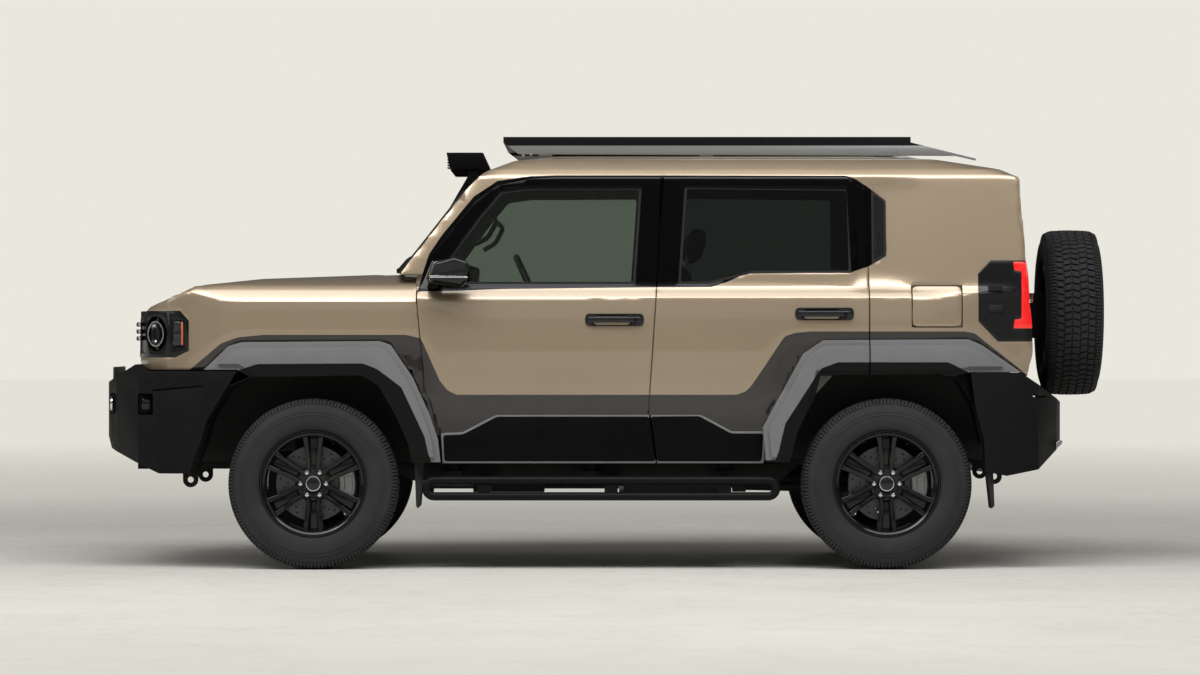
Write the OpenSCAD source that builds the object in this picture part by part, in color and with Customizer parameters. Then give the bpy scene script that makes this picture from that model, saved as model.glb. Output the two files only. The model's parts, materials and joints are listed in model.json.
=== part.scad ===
// Lifted off-road 4x4 with a ladder frame, five doors, a roof rack, a raised air intake and side steps.
// X runs to the rear, Y to the vehicle's right and Z up. The origin is on the ground, at the middle of the
// overall length. Millimetres.

/* [Overall] */
// Distance between the front and rear axles
wheelbase = 2580; // [2200:10:3100]
// Front axle to the front of the front bumper
front_overhang = 960; // [930:10:1150]
// Rear axle to the back of the spare wheel
rear_overhang = 1035; // [1000:10:1250]
// Width over the wheel-arch flares
overall_w = 1855; // [1700:5:2200]
// Distance between the middles of the two wheels on an axle
track = 1560; // [1450:5:1700]
// Height of the roof sheet above the ground
roof_h = 1868; // [1820:2:2200]

/* [Body] */
// Height of the lower edge of the side windows
belt_h = 1265; // [1250:5:1290]
// Height of the bottom edge of the doors
sill_h = 480; // [440:5:520]
// Length of the front door along the belt line
front_door_l = 1079; // [1000:1:1150]
// How far the wheel-arch flares stand out from the doors
flare_proud = 37; // [20:1:60]
// Gap between neighbouring panels
panel_gap = 6; // [5:0.5:9]
// Whole thickness of a door below its window
door_t = 110; // [80:1:130]
// Thickness of a door's outer panel, which laps over the door opening
skin_t = 25; // [15:1:30]
// Thickness of the roof, lining included
roof_t = 45; // [30:1:60]
// Thickness of the window glass
glass_t = 6; // [4:0.5:8]
// Half the width of the bonnet
bonnet_half = 620; // [560:5:680]
// Thickness of the bonnet with its inner frame
bonnet_t = 36; // [25:1:45]
// Half the width of the tailgate
tailgate_half = 640; // [600:5:680]
// Thickness of the tailgate
tailgate_t = 90; // [70:1:110]

/* [Wheels] */
// Outer diameter of the tyres
tyre_d = 770; // [700:1:800]
// Width of the tyres
tyre_w = 265; // [235:1:275]
// Diameter of the rims at the bead
rim_d = 457; // [406:1:483]
// Distance from the kingpin to the middle of the wheel
scrub = 60; // [40:1:80]

/* [Equipment] */
// Height of the roof rack's platform top above the ground
rack_h = 1956; // [1950:1:2300]
// Half the width of the roof rack
rack_half = 610; // [500:5:640]
// Radius of the side-step tubes
step_r = 19; // [15:1:25]
// Hole radius in the recovery plates
eye_r = 14; // [10:0.5:18]
// Radius of the accessory bolt holes in the roof rack
rack_hole_r = 4.5; // [3:0.5:6]
// Distance between the accessory holes along the rack
rack_hole_l = 1200; // [900:10:1400]
// Distance between the accessory holes across the rack
rack_hole_w = 1000; // [800:10:1100]

/* [Hidden] */
$fn = 64;

paint = "tan";
trim = [0.11, 0.11, 0.12];
metal = [0.16, 0.16, 0.17];
glass = [0.2, 0.25, 0.24, 0.5];

seat_gap = 0.3;          // clearance where one piece seats on another
pin_gap = 0.05;          // clearance of a pin in its bore
frame_in = skin_t + panel_gap;   // how far the body's inner frame lies behind the outer surface
hinge_out = 2;           // a hinge line lies this far outside the panel it carries
hinge_r = frame_in + hinge_out - seat_gap;
overall_l = front_overhang + wheelbase + rear_overhang;
front_axle = -overall_l / 2 + front_overhang;
rear_axle_x = front_axle + wheelbase;
hub_z = tyre_d / 2;
body_half = overall_w / 2 - flare_proud;
flare_in = body_half - 60;       // how far in the flares reach

function f(dx) = front_axle + dx;     // a place measured from the front axle
function r(dx) = rear_axle_x + dx;    // a place measured from the rear axle
function swing_out(l, d) = sqrt(l * l + d * d) - l;

// Heights that the side of the body steps through
shoulder_h = belt_h - 43;
frame_top = roof_h - 97;
crease_h = sill_h + 310;
band_h = sill_h + 220;
liner_top = hub_z + 545;

// Half widths of the outer body, from the roof to the sill, and of the places inside it
belt_y = body_half - 38;
top_y = body_half - 125;
sill_y = body_half - 40;
wall_y = body_half - 228.5;      // the roof and floor meet the body sides here
inner_y = wall_y - 22;           // nothing of a door reaches further in than this
rail_y0 = 335;                   // inner and outer faces of the frame rails
rail_y1 = 405;

module both_sides() {
    children();
    mirror([0, 1, 0]) children();
}

// A profile drawn in X and Z, carried across from y0 to y1
module side_prism(y0, y1) {
    translate([0, y1, 0]) rotate([90, 0, 0]) linear_extrude(y1 - y0) children();
}

// A profile drawn in Y and Z, carried along from x0 to x1
module cross_prism(x0, x1) {
    translate([x0, 0, 0]) rotate([90, 0, 90]) linear_extrude(x1 - x0) children();
}

// A profile drawn in X and Y, carried up from z0 to z1
module plan_prism(z0, z1) {
    translate([0, 0, z0]) linear_extrude(z1 - z0) children();
}

// A closed outline from its right half, which is listed from top to bottom
function whole(half) = concat(half, [for (i = [len(half) - 1:-1:0]) [-half[i][0], half[i][1]]]);

module rod(a, b, radius) {
    d = b - a;
    l = norm(d);
    translate(a) rotate([0, acos(d[2] / l), atan2(d[1], d[0])]) cylinder(r = radius, h = l);
}

module box(lo, hi) {
    translate(lo) cube(hi - lo);
}

// ---- cabin shell ----

// Cross-section of the cabin, moved inwards by t
function section(t) = whole([
    [wall_y - 62, roof_h - t], [top_y - 62 - t * 0.8, roof_h - 20 - t],
    [top_y - 23 - t, roof_h - 65 - t * 0.6],
    [top_y - t, frame_top], [belt_y - t, belt_h], [body_half - t, shoulder_h], [body_half - t, crease_h],
    [body_half - 34 - t, band_h], [sill_y - t, sill_h + t * 0.01]
]);

// Inside of the cabin: thin at the window frames and thick at the doors
function inside_section() = whole([
    [wall_y - 72, roof_h - roof_t], [top_y - 108, roof_h - roof_t - 15], [top_y - 62, frame_top - 15],
    [belt_y - 62, belt_h - 2], [body_half - door_t, belt_h - 30], [body_half - door_t, sill_h + 80],
    [body_half - 190, sill_h + 80], [body_half - 190, sill_h - 10]
]);

// Side view of the cabin, with its wall moved inwards by t
function cabin_side(t) = [
    [f(381) + t * 1.2, belt_h + 62 - t * 0.2], [f(683) + t * 0.9, roof_h - 153 - t * 0.4],
    [f(767) + t * 0.6, roof_h - 73 - t * 0.8], [f(903) + t * 0.3, roof_h - 23 - t], [f(1100), roof_h - t],
    [r(-100), roof_h - t], [r(228) - t * 0.2, roof_h - 18 - t], [r(517) - t * 0.6, roof_h - 60 - t],
    [r(607) - t, roof_h - 98 - t * 0.6], [r(645) - t, belt_h], [r(667) - t, sill_h + 505],
    [r(640) - t, sill_h + 400], [r(600) - t, sill_h + 60], [r(470), sill_h + 60], [r(470), sill_h],
    [f(440) + t, sill_h], [f(440) + t, sill_h + 160], [f(400) + t, belt_h - 60]
];

// Plan of the cabin: the tail narrows a little
function cabin_plan(t) = [
    [f(300), body_half + 1 - t], [r(168), body_half + 1 - t], [r(700), body_half - 44 - t],
    [r(700), -body_half + 44 + t], [r(168), -body_half - 1 + t], [f(300), -body_half - 1 + t]
];

module cabin_block(t) {
    intersection() {
        side_prism(-body_half - 5, body_half + 5) polygon(cabin_side(t));
        cross_prism(f(300), r(720)) polygon(section(t));
        plan_prism(0, roof_h + 50) polygon(cabin_plan(t));
    }
}

module cabin_inside() {
    intersection() {
        side_prism(-body_half, body_half) polygon(cabin_side(roof_t + 15));
        cross_prism(f(300), r(720)) polygon(inside_section());
        plan_prism(0, roof_h) polygon(cabin_plan(60));
    }
}

// ---- door outlines, in side view ----

b_belt = f(466) + front_door_l;   // door seam at the belt
b_low = b_belt - 38;              // its furthest forward point, where the rear door's hinge is
b_top = b_belt + 32;
hinge_y = body_half + hinge_out;  // door hinge line, just outside the outer face
front_hinge_x = f(466) + panel_gap / 2;
rear_hinge_x = b_low + panel_gap / 2;
top_inboard = hinge_y - top_y;
front_swing = swing_out(b_top - front_hinge_x, top_inboard) + panel_gap * 0.5;
rear_swing = swing_out(r(-79) - rear_hinge_x, top_inboard) + panel_gap * 0.5;

// Opening of the front wheel arch and the outer edge of its flare
function front_arch() = [
    [f(-640), 0], [f(-560), sill_h - 48], [f(-506), hub_z + 175], [f(-475), hub_z + 283],
    [f(-384), hub_z + 435],
    [f(-278), hub_z + 481], [f(222), hub_z + 488], [f(297), hub_z + 440], [f(373), hub_z + 310],
    [f(430), hub_z + 180], [f(447), sill_h - 10], [f(447), 0]
];
function front_flare_edge() = [
    [f(-489), liner_top - 32], [f(-376), liner_top + 75], [f(-318), liner_top + 92],
    [f(300), liner_top + 97],
    [f(350), liner_top + 80], [f(449), hub_z + 480], [f(524), hub_z + 314], [f(562), hub_z + 200],
    [f(574), sill_h], [f(440), sill_h], [f(-339), liner_top - 32]
];
function rear_arch() = [
    [r(-438), 0], [r(-438), sill_h - 10], [r(-400), hub_z + 237], [r(-316), hub_z + 404],
    [r(-241), hub_z + 488],
    [r(228), hub_z + 495], [r(320), hub_z + 465], [r(395), hub_z + 343], [r(432), hub_z + 200],
    [r(440), sill_h - 40], [r(440), 0]
];
function rear_flare_edge() = [
    [r(-543), sill_h], [r(-558), hub_z + 253], [r(-377), liner_top + 41], [r(-286), liner_top + 101],
    [r(365), liner_top + 105], [r(425), liner_top + 78], [r(600), liner_top - 43],
    [r(373), liner_top - 43],
    [r(300), liner_top - 60], [r(-300), liner_top - 60], [r(-400), hub_z + 100], [r(-430), sill_h]
];

// The front door's outline
function front_door_outline() = [
    [f(582), sill_h], [f(565), hub_z + 230], [f(530), hub_z + 330], [f(502), hub_z + 435],
    [f(466), belt_h - 60], [f(466), belt_h - 15], [f(524), belt_h + 146],
    [f(721), frame_top - 116], [f(827), frame_top - 39], [f(979), frame_top - 8], [f(1100), frame_top],
    [b_top - front_swing, frame_top], [b_belt, belt_h], [b_low, band_h], [b_low + 22, sill_h]
];
// The rear door's outline; its tail end follows the wheel arch
function rear_door_outline() = [
    [b_low + 22, sill_h], [b_low, band_h], [b_belt, belt_h], [b_top, frame_top],
    [r(-166) - rear_swing, frame_top], [r(-79) - rear_swing, frame_top - 52], [r(-79), belt_h],
    [r(-79), hub_z + 494], [r(-241), hub_z + 488], [r(-316), hub_z + 404], [r(-400), hub_z + 237],
    [r(-436), sill_h]
];
// Window openings in the doors
function front_window() = [
    [f(560), belt_h + 18], [f(600), belt_h + 122], [f(754), frame_top - 172], [f(842), frame_top - 68],
    [f(960), frame_top - 52], [b_top - 98, frame_top - 50], [b_belt - 95, belt_h + 18]
];
function rear_window() = [
    [b_belt + 96, belt_h + 18], [b_top + 95, frame_top - 46], [r(-165) - rear_swing, frame_top - 54],
    [r(-158), belt_h + 68], [r(-600), belt_h + 68], [r(-700), belt_h + 44], [r(-800), belt_h + 18]
];
quarter_window = [
    [r(-64), frame_top - 62], [r(-2), frame_top - 113], [r(-2), belt_h + 148], [r(-64), belt_h + 110]
];
// Windscreen opening, seen from the front
function screen_front(clear) = whole([
    [top_y - 84 - clear, roof_h - 150], [belt_y - 72 - clear, belt_h + 64]
]);

lap = 18;            // how far a door's outer panel laps over the edge of its opening
tongue = 30;         // how far its thick inner part stays inside its own edge

// Keeps what lies on the right-hand side wall
module side_wall_only() {
    intersection() {
        children();
        union() {
            box([f(-900), inner_y, belt_h - 30], [r(900), body_half + 60, roof_h + 5]);
            box([f(-900), body_half - door_t - 1, 0], [r(900), body_half + 60, belt_h - 29]);
        }
    }
}

// The space of a door opening in the body's inner frame
module door_opening() {
    intersection() {
        side_prism(0, body_half + 20) offset(delta = -lap) children();
        box([f(0), 0, sill_h + 80], [r(0), body_half + 30, roof_h]);
    }
}

// Hidden hinge: a round segment on the hinge line, behind the outer panel, rolling on the pillar
module hinge_segment(x, z0, z1, radius = hinge_r, lip = 15) {
    intersection() {
        translate([x, hinge_y, z0]) cylinder(r = radius, h = z1 - z0);
        box([x - 60, 0, z0 - 1], [x + 60, body_half - lip, z1 + 1]);
    }
}

// Room for such a hinge behind the neighbouring panel
module hinge_room(x, zs) {
    for (z = zs) hinge_segment(x, z[0] - 6, z[1] + 6, hinge_r + 5.5, 6);
}

// Outer panel, thick inner part and window opening of a door
module door_solid(trail) {
    side_wall_only() difference() {
        union() {
            intersection() {
                difference() {
                    cabin_block(0);
                    cabin_block(skin_t);
                }
                side_prism(0, body_half + 20) offset(delta = -panel_gap / 2) children(0);
            }
            intersection() {
                difference() {
                    cabin_block(skin_t - 1);
                    cabin_inside();
                }
                side_prism(0, body_half + 20) offset(delta = -tongue) children(0);
                translate([-trail, 0, 0]) side_prism(0, body_half + 20) offset(delta = -tongue) children(0);
                box([f(0), 0, sill_h + 86], [r(0), body_half + 20, roof_h]);
            }
        }
        side_prism(0, body_half + 20) children(1);
    }
}

front_hinges = [[belt_h - 195, belt_h - 150], [belt_h - 115, belt_h - 70]];
rear_hinges = [[crease_h + 5, crease_h + 35], [crease_h + 60, crease_h + 90]];

module front_door() {
    color(paint) {
        difference() {
            door_solid(swing_out(b_top - front_hinge_x, top_inboard + 60) + 4) {
                polygon(front_door_outline());
                polygon(front_window());
            }
            hinge_room(rear_hinge_x, rear_hinges);
        }
        for (z = front_hinges) hinge_segment(front_hinge_x, z[0], z[1]);
        mirror_shape();
    }
}

module rear_door() {
    color(paint) {
        door_solid(swing_out(r(-79) - rear_hinge_x, top_inboard + 60) + 4) {
            polygon(rear_door_outline());
            polygon(rear_window());
        }
        door_flare();
        for (z = rear_hinges) hinge_segment(rear_hinge_x, z[0], z[1]);
    }
}

// Glass sheet that fills a window opening, at the depth of the frame's outer panel
module side_glass() {
    color(glass) side_wall_only() intersection() {
        difference() {
            cabin_block(skin_t / 2 - glass_t / 2);
            cabin_block(skin_t / 2 + glass_t / 2);
        }
        side_prism(0, body_half + 20) children();
    }
}

module front_door_glass() {
    side_glass() polygon(front_window());
}

module rear_door_glass() {
    side_glass() polygon(rear_window());
}

// ---- fixed body ----

lid_x0 = r(115);
lid_x1 = r(335);
lid_z0 = belt_h - 172;
lid_z1 = belt_h + 8;
lid_t = 18;
lid_gap = 5.5;

function lid_outline(grow) = [
    [lid_x0 - grow, lid_z0 - grow], [lid_x1 + grow, lid_z0 - grow],
    [lid_x1 + grow, lid_z1 + grow], [lid_x0 - grow, lid_z1 + grow]
];

lamp_z0 = belt_h - 240;
lamp_z1 = belt_h + 125;

// Pocket of a rear lamp, which wraps round the rear corner
module lamp_pocket(grow) {
    intersection() {
        side_prism(tailgate_half + 8 - grow, body_half + 20) polygon([
            [r(412) - grow, lamp_z0 + 90], [r(412) - grow, lamp_z1 - 60], [r(470) - grow, lamp_z1 + grow],
            [r(720), lamp_z1 + grow], [r(720), lamp_z0 - grow], [r(500) - grow, lamp_z0 - grow]
        ]);
        union() {
            box([r(380), body_half - 90 - grow, 0], [r(720), body_half + 20, roof_h]);
            box([r(590) - grow, 0, 0], [r(720), body_half + 20, roof_h]);
        }
    }
}

gate_room = tailgate_half + panel_gap / 2;

// Space of the body sides: outside wall_y, and further in beside the tailgate
module side_room() {
    box([f(300), wall_y, 0], [r(720), body_half + 5, roof_h + 5]);
    box([r(500), gate_room, 0], [r(720), wall_y + 1, tail_z1 + panel_gap / 2]);
}

// Right-hand body side: pillars, roof rail, sill and rear quarter
module body_side() {
    difference() {
        union() {
            // the inner frame, set in by the thickness of the outer panels
            difference() {
                intersection() {
                    difference() {
                        cabin_block(frame_in);
                        cabin_inside();
                    }
                    side_room();
                }
                door_opening() polygon(front_door_outline());
                door_opening() polygon(rear_door_outline());
                box([f(290), wall_y - 62, 0], [f(466), body_half + 20, belt_h + 63]);
            }
            // the outer panel where no door covers it
            difference() {
                intersection() {
                    difference() {
                        cabin_block(0);
                        cabin_block(frame_in + 1);
                    }
                    side_room();
                }
                side_prism(0, body_half + 20) offset(delta = panel_gap / 2) polygon(front_door_outline());
                side_prism(0, body_half + 20) offset(delta = panel_gap / 2) polygon(rear_door_outline());
                // below the belt the fender closes the front
                box([f(290), wall_y - 62, crease_h], [f(600), body_half + 20, belt_h + 63]);
                box([f(290), wall_y - 62, 0], [f(447), body_half + 20, belt_h + 63]);
            }
        }
        // windscreen, wheel arch, rear quarter window, lamp, flares and bumper
        cross_prism(f(340), f(683)) polygon(screen_front(0));
        side_prism(wall_y - 162, body_half + 20) polygon(rear_arch());
        side_prism(wall_y - 162, flare_in) offset(delta = liner_t + seat_gap) polygon(front_arch());
        side_prism(0, body_half + 20) polygon(quarter_window);
        side_prism(flare_in - 1, body_half + 20) offset(delta = seat_gap) polygon(rear_flare_edge());
        side_prism(wall_y - 162, body_half + 20) polygon(bumper_corner());
        lamp_pocket(seat_gap);
        gate_opening();
        for (z = gate_hinges) intersection() {
            gate_hinge(z[0] - 6, z[1] + 6, hinge_r + 5.5, 8);
            box([r(480), 0, 0], [r(720), gate_room + 45, roof_h]);
            difference() {
                cabin_block(-1);
                cabin_block(frame_in);
            }
        }
    }
}

// Corner below the rear quarter that the rear bumper fills
function bumper_corner() = [
    [r(373), liner_top - 43], [r(600), liner_top - 43], [r(720), liner_top - 100], [r(720), 0],
    [r(440), 0]
];

module body_sides() {
    color(paint) {
        body_side();
        difference() {
            mirror([0, 1, 0]) body_side();
            // hole for the fuel filler's lid, through the outer panel only
            side_prism(-body_half - 20, -body_half + frame_in) polygon(lid_outline(lid_gap));
            intersection() {
                side_prism(-body_half - 20, -body_half + frame_in + 16) polygon(lid_outline(lid_gap));
                box([lid_x0 + 36, -body_half - 30, 0], [r(400), 0, roof_h]);
            }
            side_prism(-body_half - 20, -belt_y + frame_in) polygon([
                [lid_x0 - lid_gap, shoulder_h], [lid_x1 + lid_gap, shoulder_h],
                [lid_x1 + lid_gap, lid_z1 + lid_gap], [lid_x0 - lid_gap, lid_z1 + lid_gap]
            ]);
        }
    }
}

lid_hinge_x = lid_x0 - 2;

module fuel_lid() {
    color(paint) {
        intersection() {
            difference() {
                cabin_block(0);
                cabin_block(lid_t);
            }
            side_prism(-body_half - 20, 0) polygon(lid_outline(0));
        }
        mirror([0, 1, 0]) intersection() {
            hinge_segment(lid_hinge_x, lid_z0 + 30, lid_z0 + 80);
            box([lid_x0 - 4, 0, 0], [r(400), body_half, roof_h]);
        }
    }
}

roof_edge = wall_y - seat_gap;

// Roof sheet between the body sides, with the beam over the tailgate
module roof_panel() {
    color(paint) intersection() {
        difference() {
            cabin_block(0);
            cabin_inside();
        }
        box([f(683) + seat_gap, -roof_edge, tail_z1 + panel_gap / 2], [r(720), roof_edge, roof_h + 5]);
    }
}

module fixed_glass() {
    color(glass) {
        intersection() {
            difference() {
                cabin_block(10);
                cabin_block(10 + glass_t);
            }
            cross_prism(f(340), f(683) - seat_gap) polygon(screen_front(seat_gap));
        }
        both_sides() side_glass() polygon(quarter_window);
    }
}

floor_z = sill_h + 10;
floor_t = 45;
load_half = max(wall_y - 102, rail_y1 + 40);   // half the width between the rear wheel housings
load_z = floor_z + 250;  // top of the load floor
cowl_z = belt_h + 30;

module floor_pan() {
    color(trim) {
        difference() {
            union() {
                box([f(466), -wall_y - 37, floor_z], [r(-446), wall_y + 37, floor_z + floor_t]);
                box([r(-480), -load_half, floor_z], [r(540), load_half, load_z]);
            }
            box([r(-435), -load_half + 20, floor_z - 1], [r(520), load_half - 20, load_z - 35]);
            box([r(519), -rail_y1 - 25, floor_z - 1], [r(541), rail_y1 + 25, axle_rail_z + rail_d + 10]);
            // the body sides stand on the floor's edge
            both_sides() box([f(400), wall_y - seat_gap, floor_z - 1],
            [f(602), wall_y + 50, floor_z + 60]);
        }
        // walls beside the load space, over the wheel housings, with the sill under the tailgate
        both_sides() {
            box([r(-20), load_half - 12, load_z - 1], [r(540), load_half, liner_top + 60]);
            box([r(-20), load_half - 12, liner_top + 48], [r(540), wall_y - seat_gap, liner_top + 60]);
        }
        box([r(539), -wall_y + 30, load_z - 60], [r(575), wall_y - 30, tail_z0 + 20]);
        // front wall of the cabin with the cowl under the windscreen
        box([f(456), -roof_edge, floor_z], [f(479), roof_edge, belt_h - 60]);
        box([f(378), -roof_edge, belt_h - 80], [f(479), roof_edge, belt_h - 20]);
        box([f(372), -inner_y, belt_h - 21], [f(414), inner_y, cowl_z]);
    }
}

// ---- front end ----

nose_x = f(-806);
bonnet_rear = f(366);
bonnet_hinge_x = bonnet_rear + panel_gap / 2;
bonnet_hinge_z = belt_h + 62 + hinge_out;

function nose_side(t) = [
    [nose_x + t, liner_top - 22], [nose_x + t, belt_h - 132], [f(-748) + t * 0.7, belt_h - 81 - t * 0.7],
    [f(-534), belt_h + 12 - t], [f(-260), belt_h + 40 - t], [bonnet_rear, belt_h + 62 - t],
    [f(600), belt_h + 62 - t], [f(600), sill_h], [f(-300), sill_h]
];
function nose_section(t) = whole([
    [bonnet_half + 30, belt_h + 62 - t], [body_half - 55 - t * 0.7, belt_h + 20 - t * 0.5],
    [body_half - t, belt_h - 62], [body_half - t, sill_h]
]);
function nose_plan(t) = [
    [f(600), body_half - t], [f(-320), body_half - t], [f(-416), body_half - 5 - t],
    [f(-564), body_half - 32 - t],
    [f(-660), body_half - 75 - t], [f(-748), body_half - 160 - t], [nose_x + t, body_half - 290],
    [nose_x + t, -body_half + 290], [f(-748), -body_half + 160 + t], [f(-660), -body_half + 75 + t],
    [f(-564), -body_half + 32 + t], [f(-416), -body_half + 5 + t], [f(-320), -body_half + t],
    [f(600), -body_half + t]
];

module nose_block(t) {
    intersection() {
        side_prism(-body_half, body_half) polygon(nose_side(t));
        cross_prism(nose_x - 5, f(600)) polygon(nose_section(t));
        plan_prism(0, roof_h) polygon(nose_plan(t));
    }
}

headlamp_z0 = belt_h - 312;
headlamp_z1 = belt_h - 102;
headlamp_y0 = body_half - 330;

module headlamp_pocket(grow) {
    intersection() {
        side_prism(headlamp_y0 - grow, body_half + 20) polygon([
            [nose_x - 20, headlamp_z0 - grow], [f(-620), headlamp_z0 - grow],
            [f(-560) + grow, headlamp_z0 + 30],
            [f(-560) + grow, headlamp_z1 - 45], [f(-600), headlamp_z1 + grow],
            [nose_x - 20, headlamp_z1 + grow]
        ]);
        union() {
            box([nose_x - 20, 0, 0], [f(-700) + grow, body_half + 20, roof_h]);
            box([nose_x - 20, body_half - 190 - grow, 0], [f(-540), body_half + 20, roof_h]);
        }
    }
}

module headlight() {
    color(trim) intersection() {
        nose_block(0);
        headlamp_pocket(0);
    }
}

fender_t = 28;

module front_fender() {
    color(paint) difference() {
        intersection() {
            difference() {
                nose_block(0);
                nose_block(fender_t);
            }
            union() {
                box([nose_x - 5, bonnet_half + panel_gap / 2, sill_h],
                [f(466) - 1, body_half + 5, roof_h]);
                box([f(466) - 2, body_half - fender_t + 1, crease_h + seat_gap],
                    [f(600), body_half + 5, belt_h - 62]);
            }
        }
        side_prism(0, body_half + 20) polygon(front_arch());
        side_prism(0, body_half + 20) offset(delta = seat_gap) polygon(front_flare_edge());
        side_prism(0, body_half + 20) polygon([
            [f(-900), 0], [f(-900), liner_top - 8], [nose_x, liner_top - 7], [f(-750), liner_top - 32],
            [f(-489), liner_top - 32], [f(447), liner_top - 32], [f(447), 0]
        ]);
        side_prism(0, body_half + 20) offset(delta = panel_gap / 2) polygon(front_door_outline());
        headlamp_pocket(seat_gap);
        hinge_room(front_hinge_x, front_hinges);
        // room for the grille between the lamps
        box([nose_x - 5, 0, headlamp_z0 - 1], [f(-700), headlamp_y0, headlamp_z1 + 1]);
    }
}

module bonnet() {
    color(paint) {
        intersection() {
            difference() {
                nose_block(0);
                nose_block(bonnet_t);
            }
            box([nose_x - 5, -bonnet_half + panel_gap / 2, belt_h - 96],
                [bonnet_rear, bonnet_half - panel_gap / 2, roof_h]);
        }
        // hinges that roll on the cowl
        both_sides() intersection() {
            translate([bonnet_hinge_x, 520, bonnet_hinge_z]) rotate([-90, 0, 0])
                cylinder(r = bonnet_hinge_z - cowl_z - seat_gap, h = 40);
            box([bonnet_hinge_x - 60, 519, 0], [bonnet_hinge_x + 12, 561, bonnet_hinge_z - 14]);
        }
    }
}

// Grille with its slots, and the panel that carries it and the lamps
module grille() {
    y = headlamp_y0 - seat_gap;
    slot_n = 5;
    pitch = (headlamp_z1 - headlamp_z0 - 40) / slot_n;
    color(trim) difference() {
        box([nose_x + 2, -y, liner_top - 4], [nose_x + 52, y, headlamp_z1]);
        for (k = [0:slot_n - 1]) both_sides()
            box([nose_x, 20, headlamp_z0 + 20 + k * pitch],
                [nose_x + 53, y - 30, headlamp_z0 + k * pitch + pitch]);
    }
}

bumper_front = f(-front_overhang);

function bumper_side() = [
    [bumper_front, sill_h + 360], [bumper_front, sill_h + 113], [bumper_front + 20, sill_h + 59],
    [f(-690), sill_h - 48], [f(-560), sill_h - 48], [f(-506), hub_z + 175], [f(-475), hub_z + 283],
    [f(-384), hub_z + 435], [f(-339), liner_top - 38], [f(-750), liner_top - 38], [nose_x, liner_top - 8]
];
function bumper_plan() = whole_plan([
    [bumper_front, 470], [bumper_front + 50, 620], [f(-790), body_half - 70], [f(-700), body_half],
    [f(-500), body_half + 25], [f(-300), body_half + flare_proud]
]);
function whole_plan(half) = concat(half, [for (i = [len(half) - 1:-1:0]) [half[i][0], -half[i][1]]]);

module front_bumper() {
    color(trim) {
        difference() {
            intersection() {
                side_prism(-overall_w / 2, overall_w / 2) polygon(bumper_side());
                plan_prism(0, roof_h) polygon(bumper_plan());
            }
            // hollow behind the skin
            plan_prism(0, liner_top - 60) polygon(whole_plan([
                [bumper_front + 130, 640], [f(-760), body_half - 130], [f(-680), body_half - 60],
                [f(-200), body_half - 60]
            ]));
            // centre air intake
            box([bumper_front - 5, -430, sill_h + 130], [bumper_front + 60, 430, sill_h + 300]);
        }
        // beam bolted to the frame rails
        box([bumper_front + 129, -rail_y1 - 20, rail_z0],
            [f(-760) - seat_gap, rail_y1 + 20, rail_z0 + rail_d]);
    }
}

// A plate with an eye, hanging from the frame rail that it is bolted to
plate_t = 14;
module recovery_plate(x, z, z_top) {
    difference() {
        union() {
            box([x - 35, rail_y1 - 1, z], [x + 35, rail_y1 + plate_t, z_top]);
            translate([x, rail_y1 - 1, z]) rotate([-90, 0, 0]) cylinder(r = 35, h = plate_t + 1);
        }
        translate([x, rail_y1 - 2, z]) rotate([-90, 0, 0]) cylinder(r = eye_r, h = plate_t + 3);
    }
}

rear_bumper_x = r(808);

module rear_bumper() {
    color(trim) {
        difference() {
            intersection() {
                side_prism(-overall_w / 2, overall_w / 2) polygon([
                    [r(374), liner_top - 45], [r(395), hub_z + 343], [r(432), hub_z + 200],
                    [r(440), sill_h - 40], [r(535), sill_h - 58], [r(680), sill_h - 30],
                    [rear_bumper_x, sill_h + 80],
                    [rear_bumper_x, sill_h + 270], [r(745), sill_h + 310], [r(600), liner_top - 45]
                ]);
                plan_prism(0, roof_h) polygon(whole_plan([
                    [rear_bumper_x, 560], [rear_bumper_x - 30, 700], [r(680), body_half - 10],
                    [r(560), body_half + 25],
                    [r(300), body_half + flare_proud]
                ]));
            }
            // hollow, with the underbody behind it
            box([r(250), -body_half + 80, 0], [r(690), body_half - 80, roof_h]);
            // step in the middle, under the spare wheel
            box([r(600), -600, sill_h + 275], [r(900), 600, roof_h]);
        }
        // beam bolted to the frame rails
        box([r(560) + seat_gap, -rail_y1 - 20, tail_rail_z],
        [r(691), rail_y1 + 20, tail_rail_z + rail_d]);
    }
}

module tail_lamps() {
    color([0.5, 0.05, 0.05]) both_sides() intersection() {
        cabin_block(0);
        lamp_pocket(0);
    }
}

// ---- flares and liners ----

// A flare in two steps: a band against the body and a wider lip round the wheel arch
module flare_shape(edge, arch) {
    difference() {
        union() {
            side_prism(flare_in, body_half + flare_proud * 0.55) polygon(edge);
            side_prism(flare_in, body_half + flare_proud) offset(delta = -26) polygon(edge);
        }
        side_prism(0, overall_w) polygon(arch);
    }
}

module rear_flare_whole() {
    flare_shape(rear_flare_edge(), rear_arch());
}

module wheel_flares() {
    color(metal) both_sides() {
        difference() {
            flare_shape(front_flare_edge(), front_arch());
            side_prism(0, overall_w) offset(delta = panel_gap / 2) polygon(front_door_outline());
            // the lower end lies on the body side
            cabin_block(-seat_gap);
        }
        intersection() {
            rear_flare_whole();
            box([r(-79) + panel_gap / 2, 0, 0], [r(700), overall_w, roof_h]);
        }
    }
}

// The part of the rear flare that rides on the rear door
module door_flare() {
    difference() {
        intersection() {
            rear_flare_whole();
            box([r(-700), 0, sill_h + panel_gap / 2], [r(-79) - panel_gap / 2, overall_w, roof_h]);
        }
        cabin_block(skin_t / 2);
        side_prism(0, overall_w) offset(delta = 3) polygon(rear_arch());
    }
}

liner_t = 6;
front_liner_y = 425;

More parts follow.
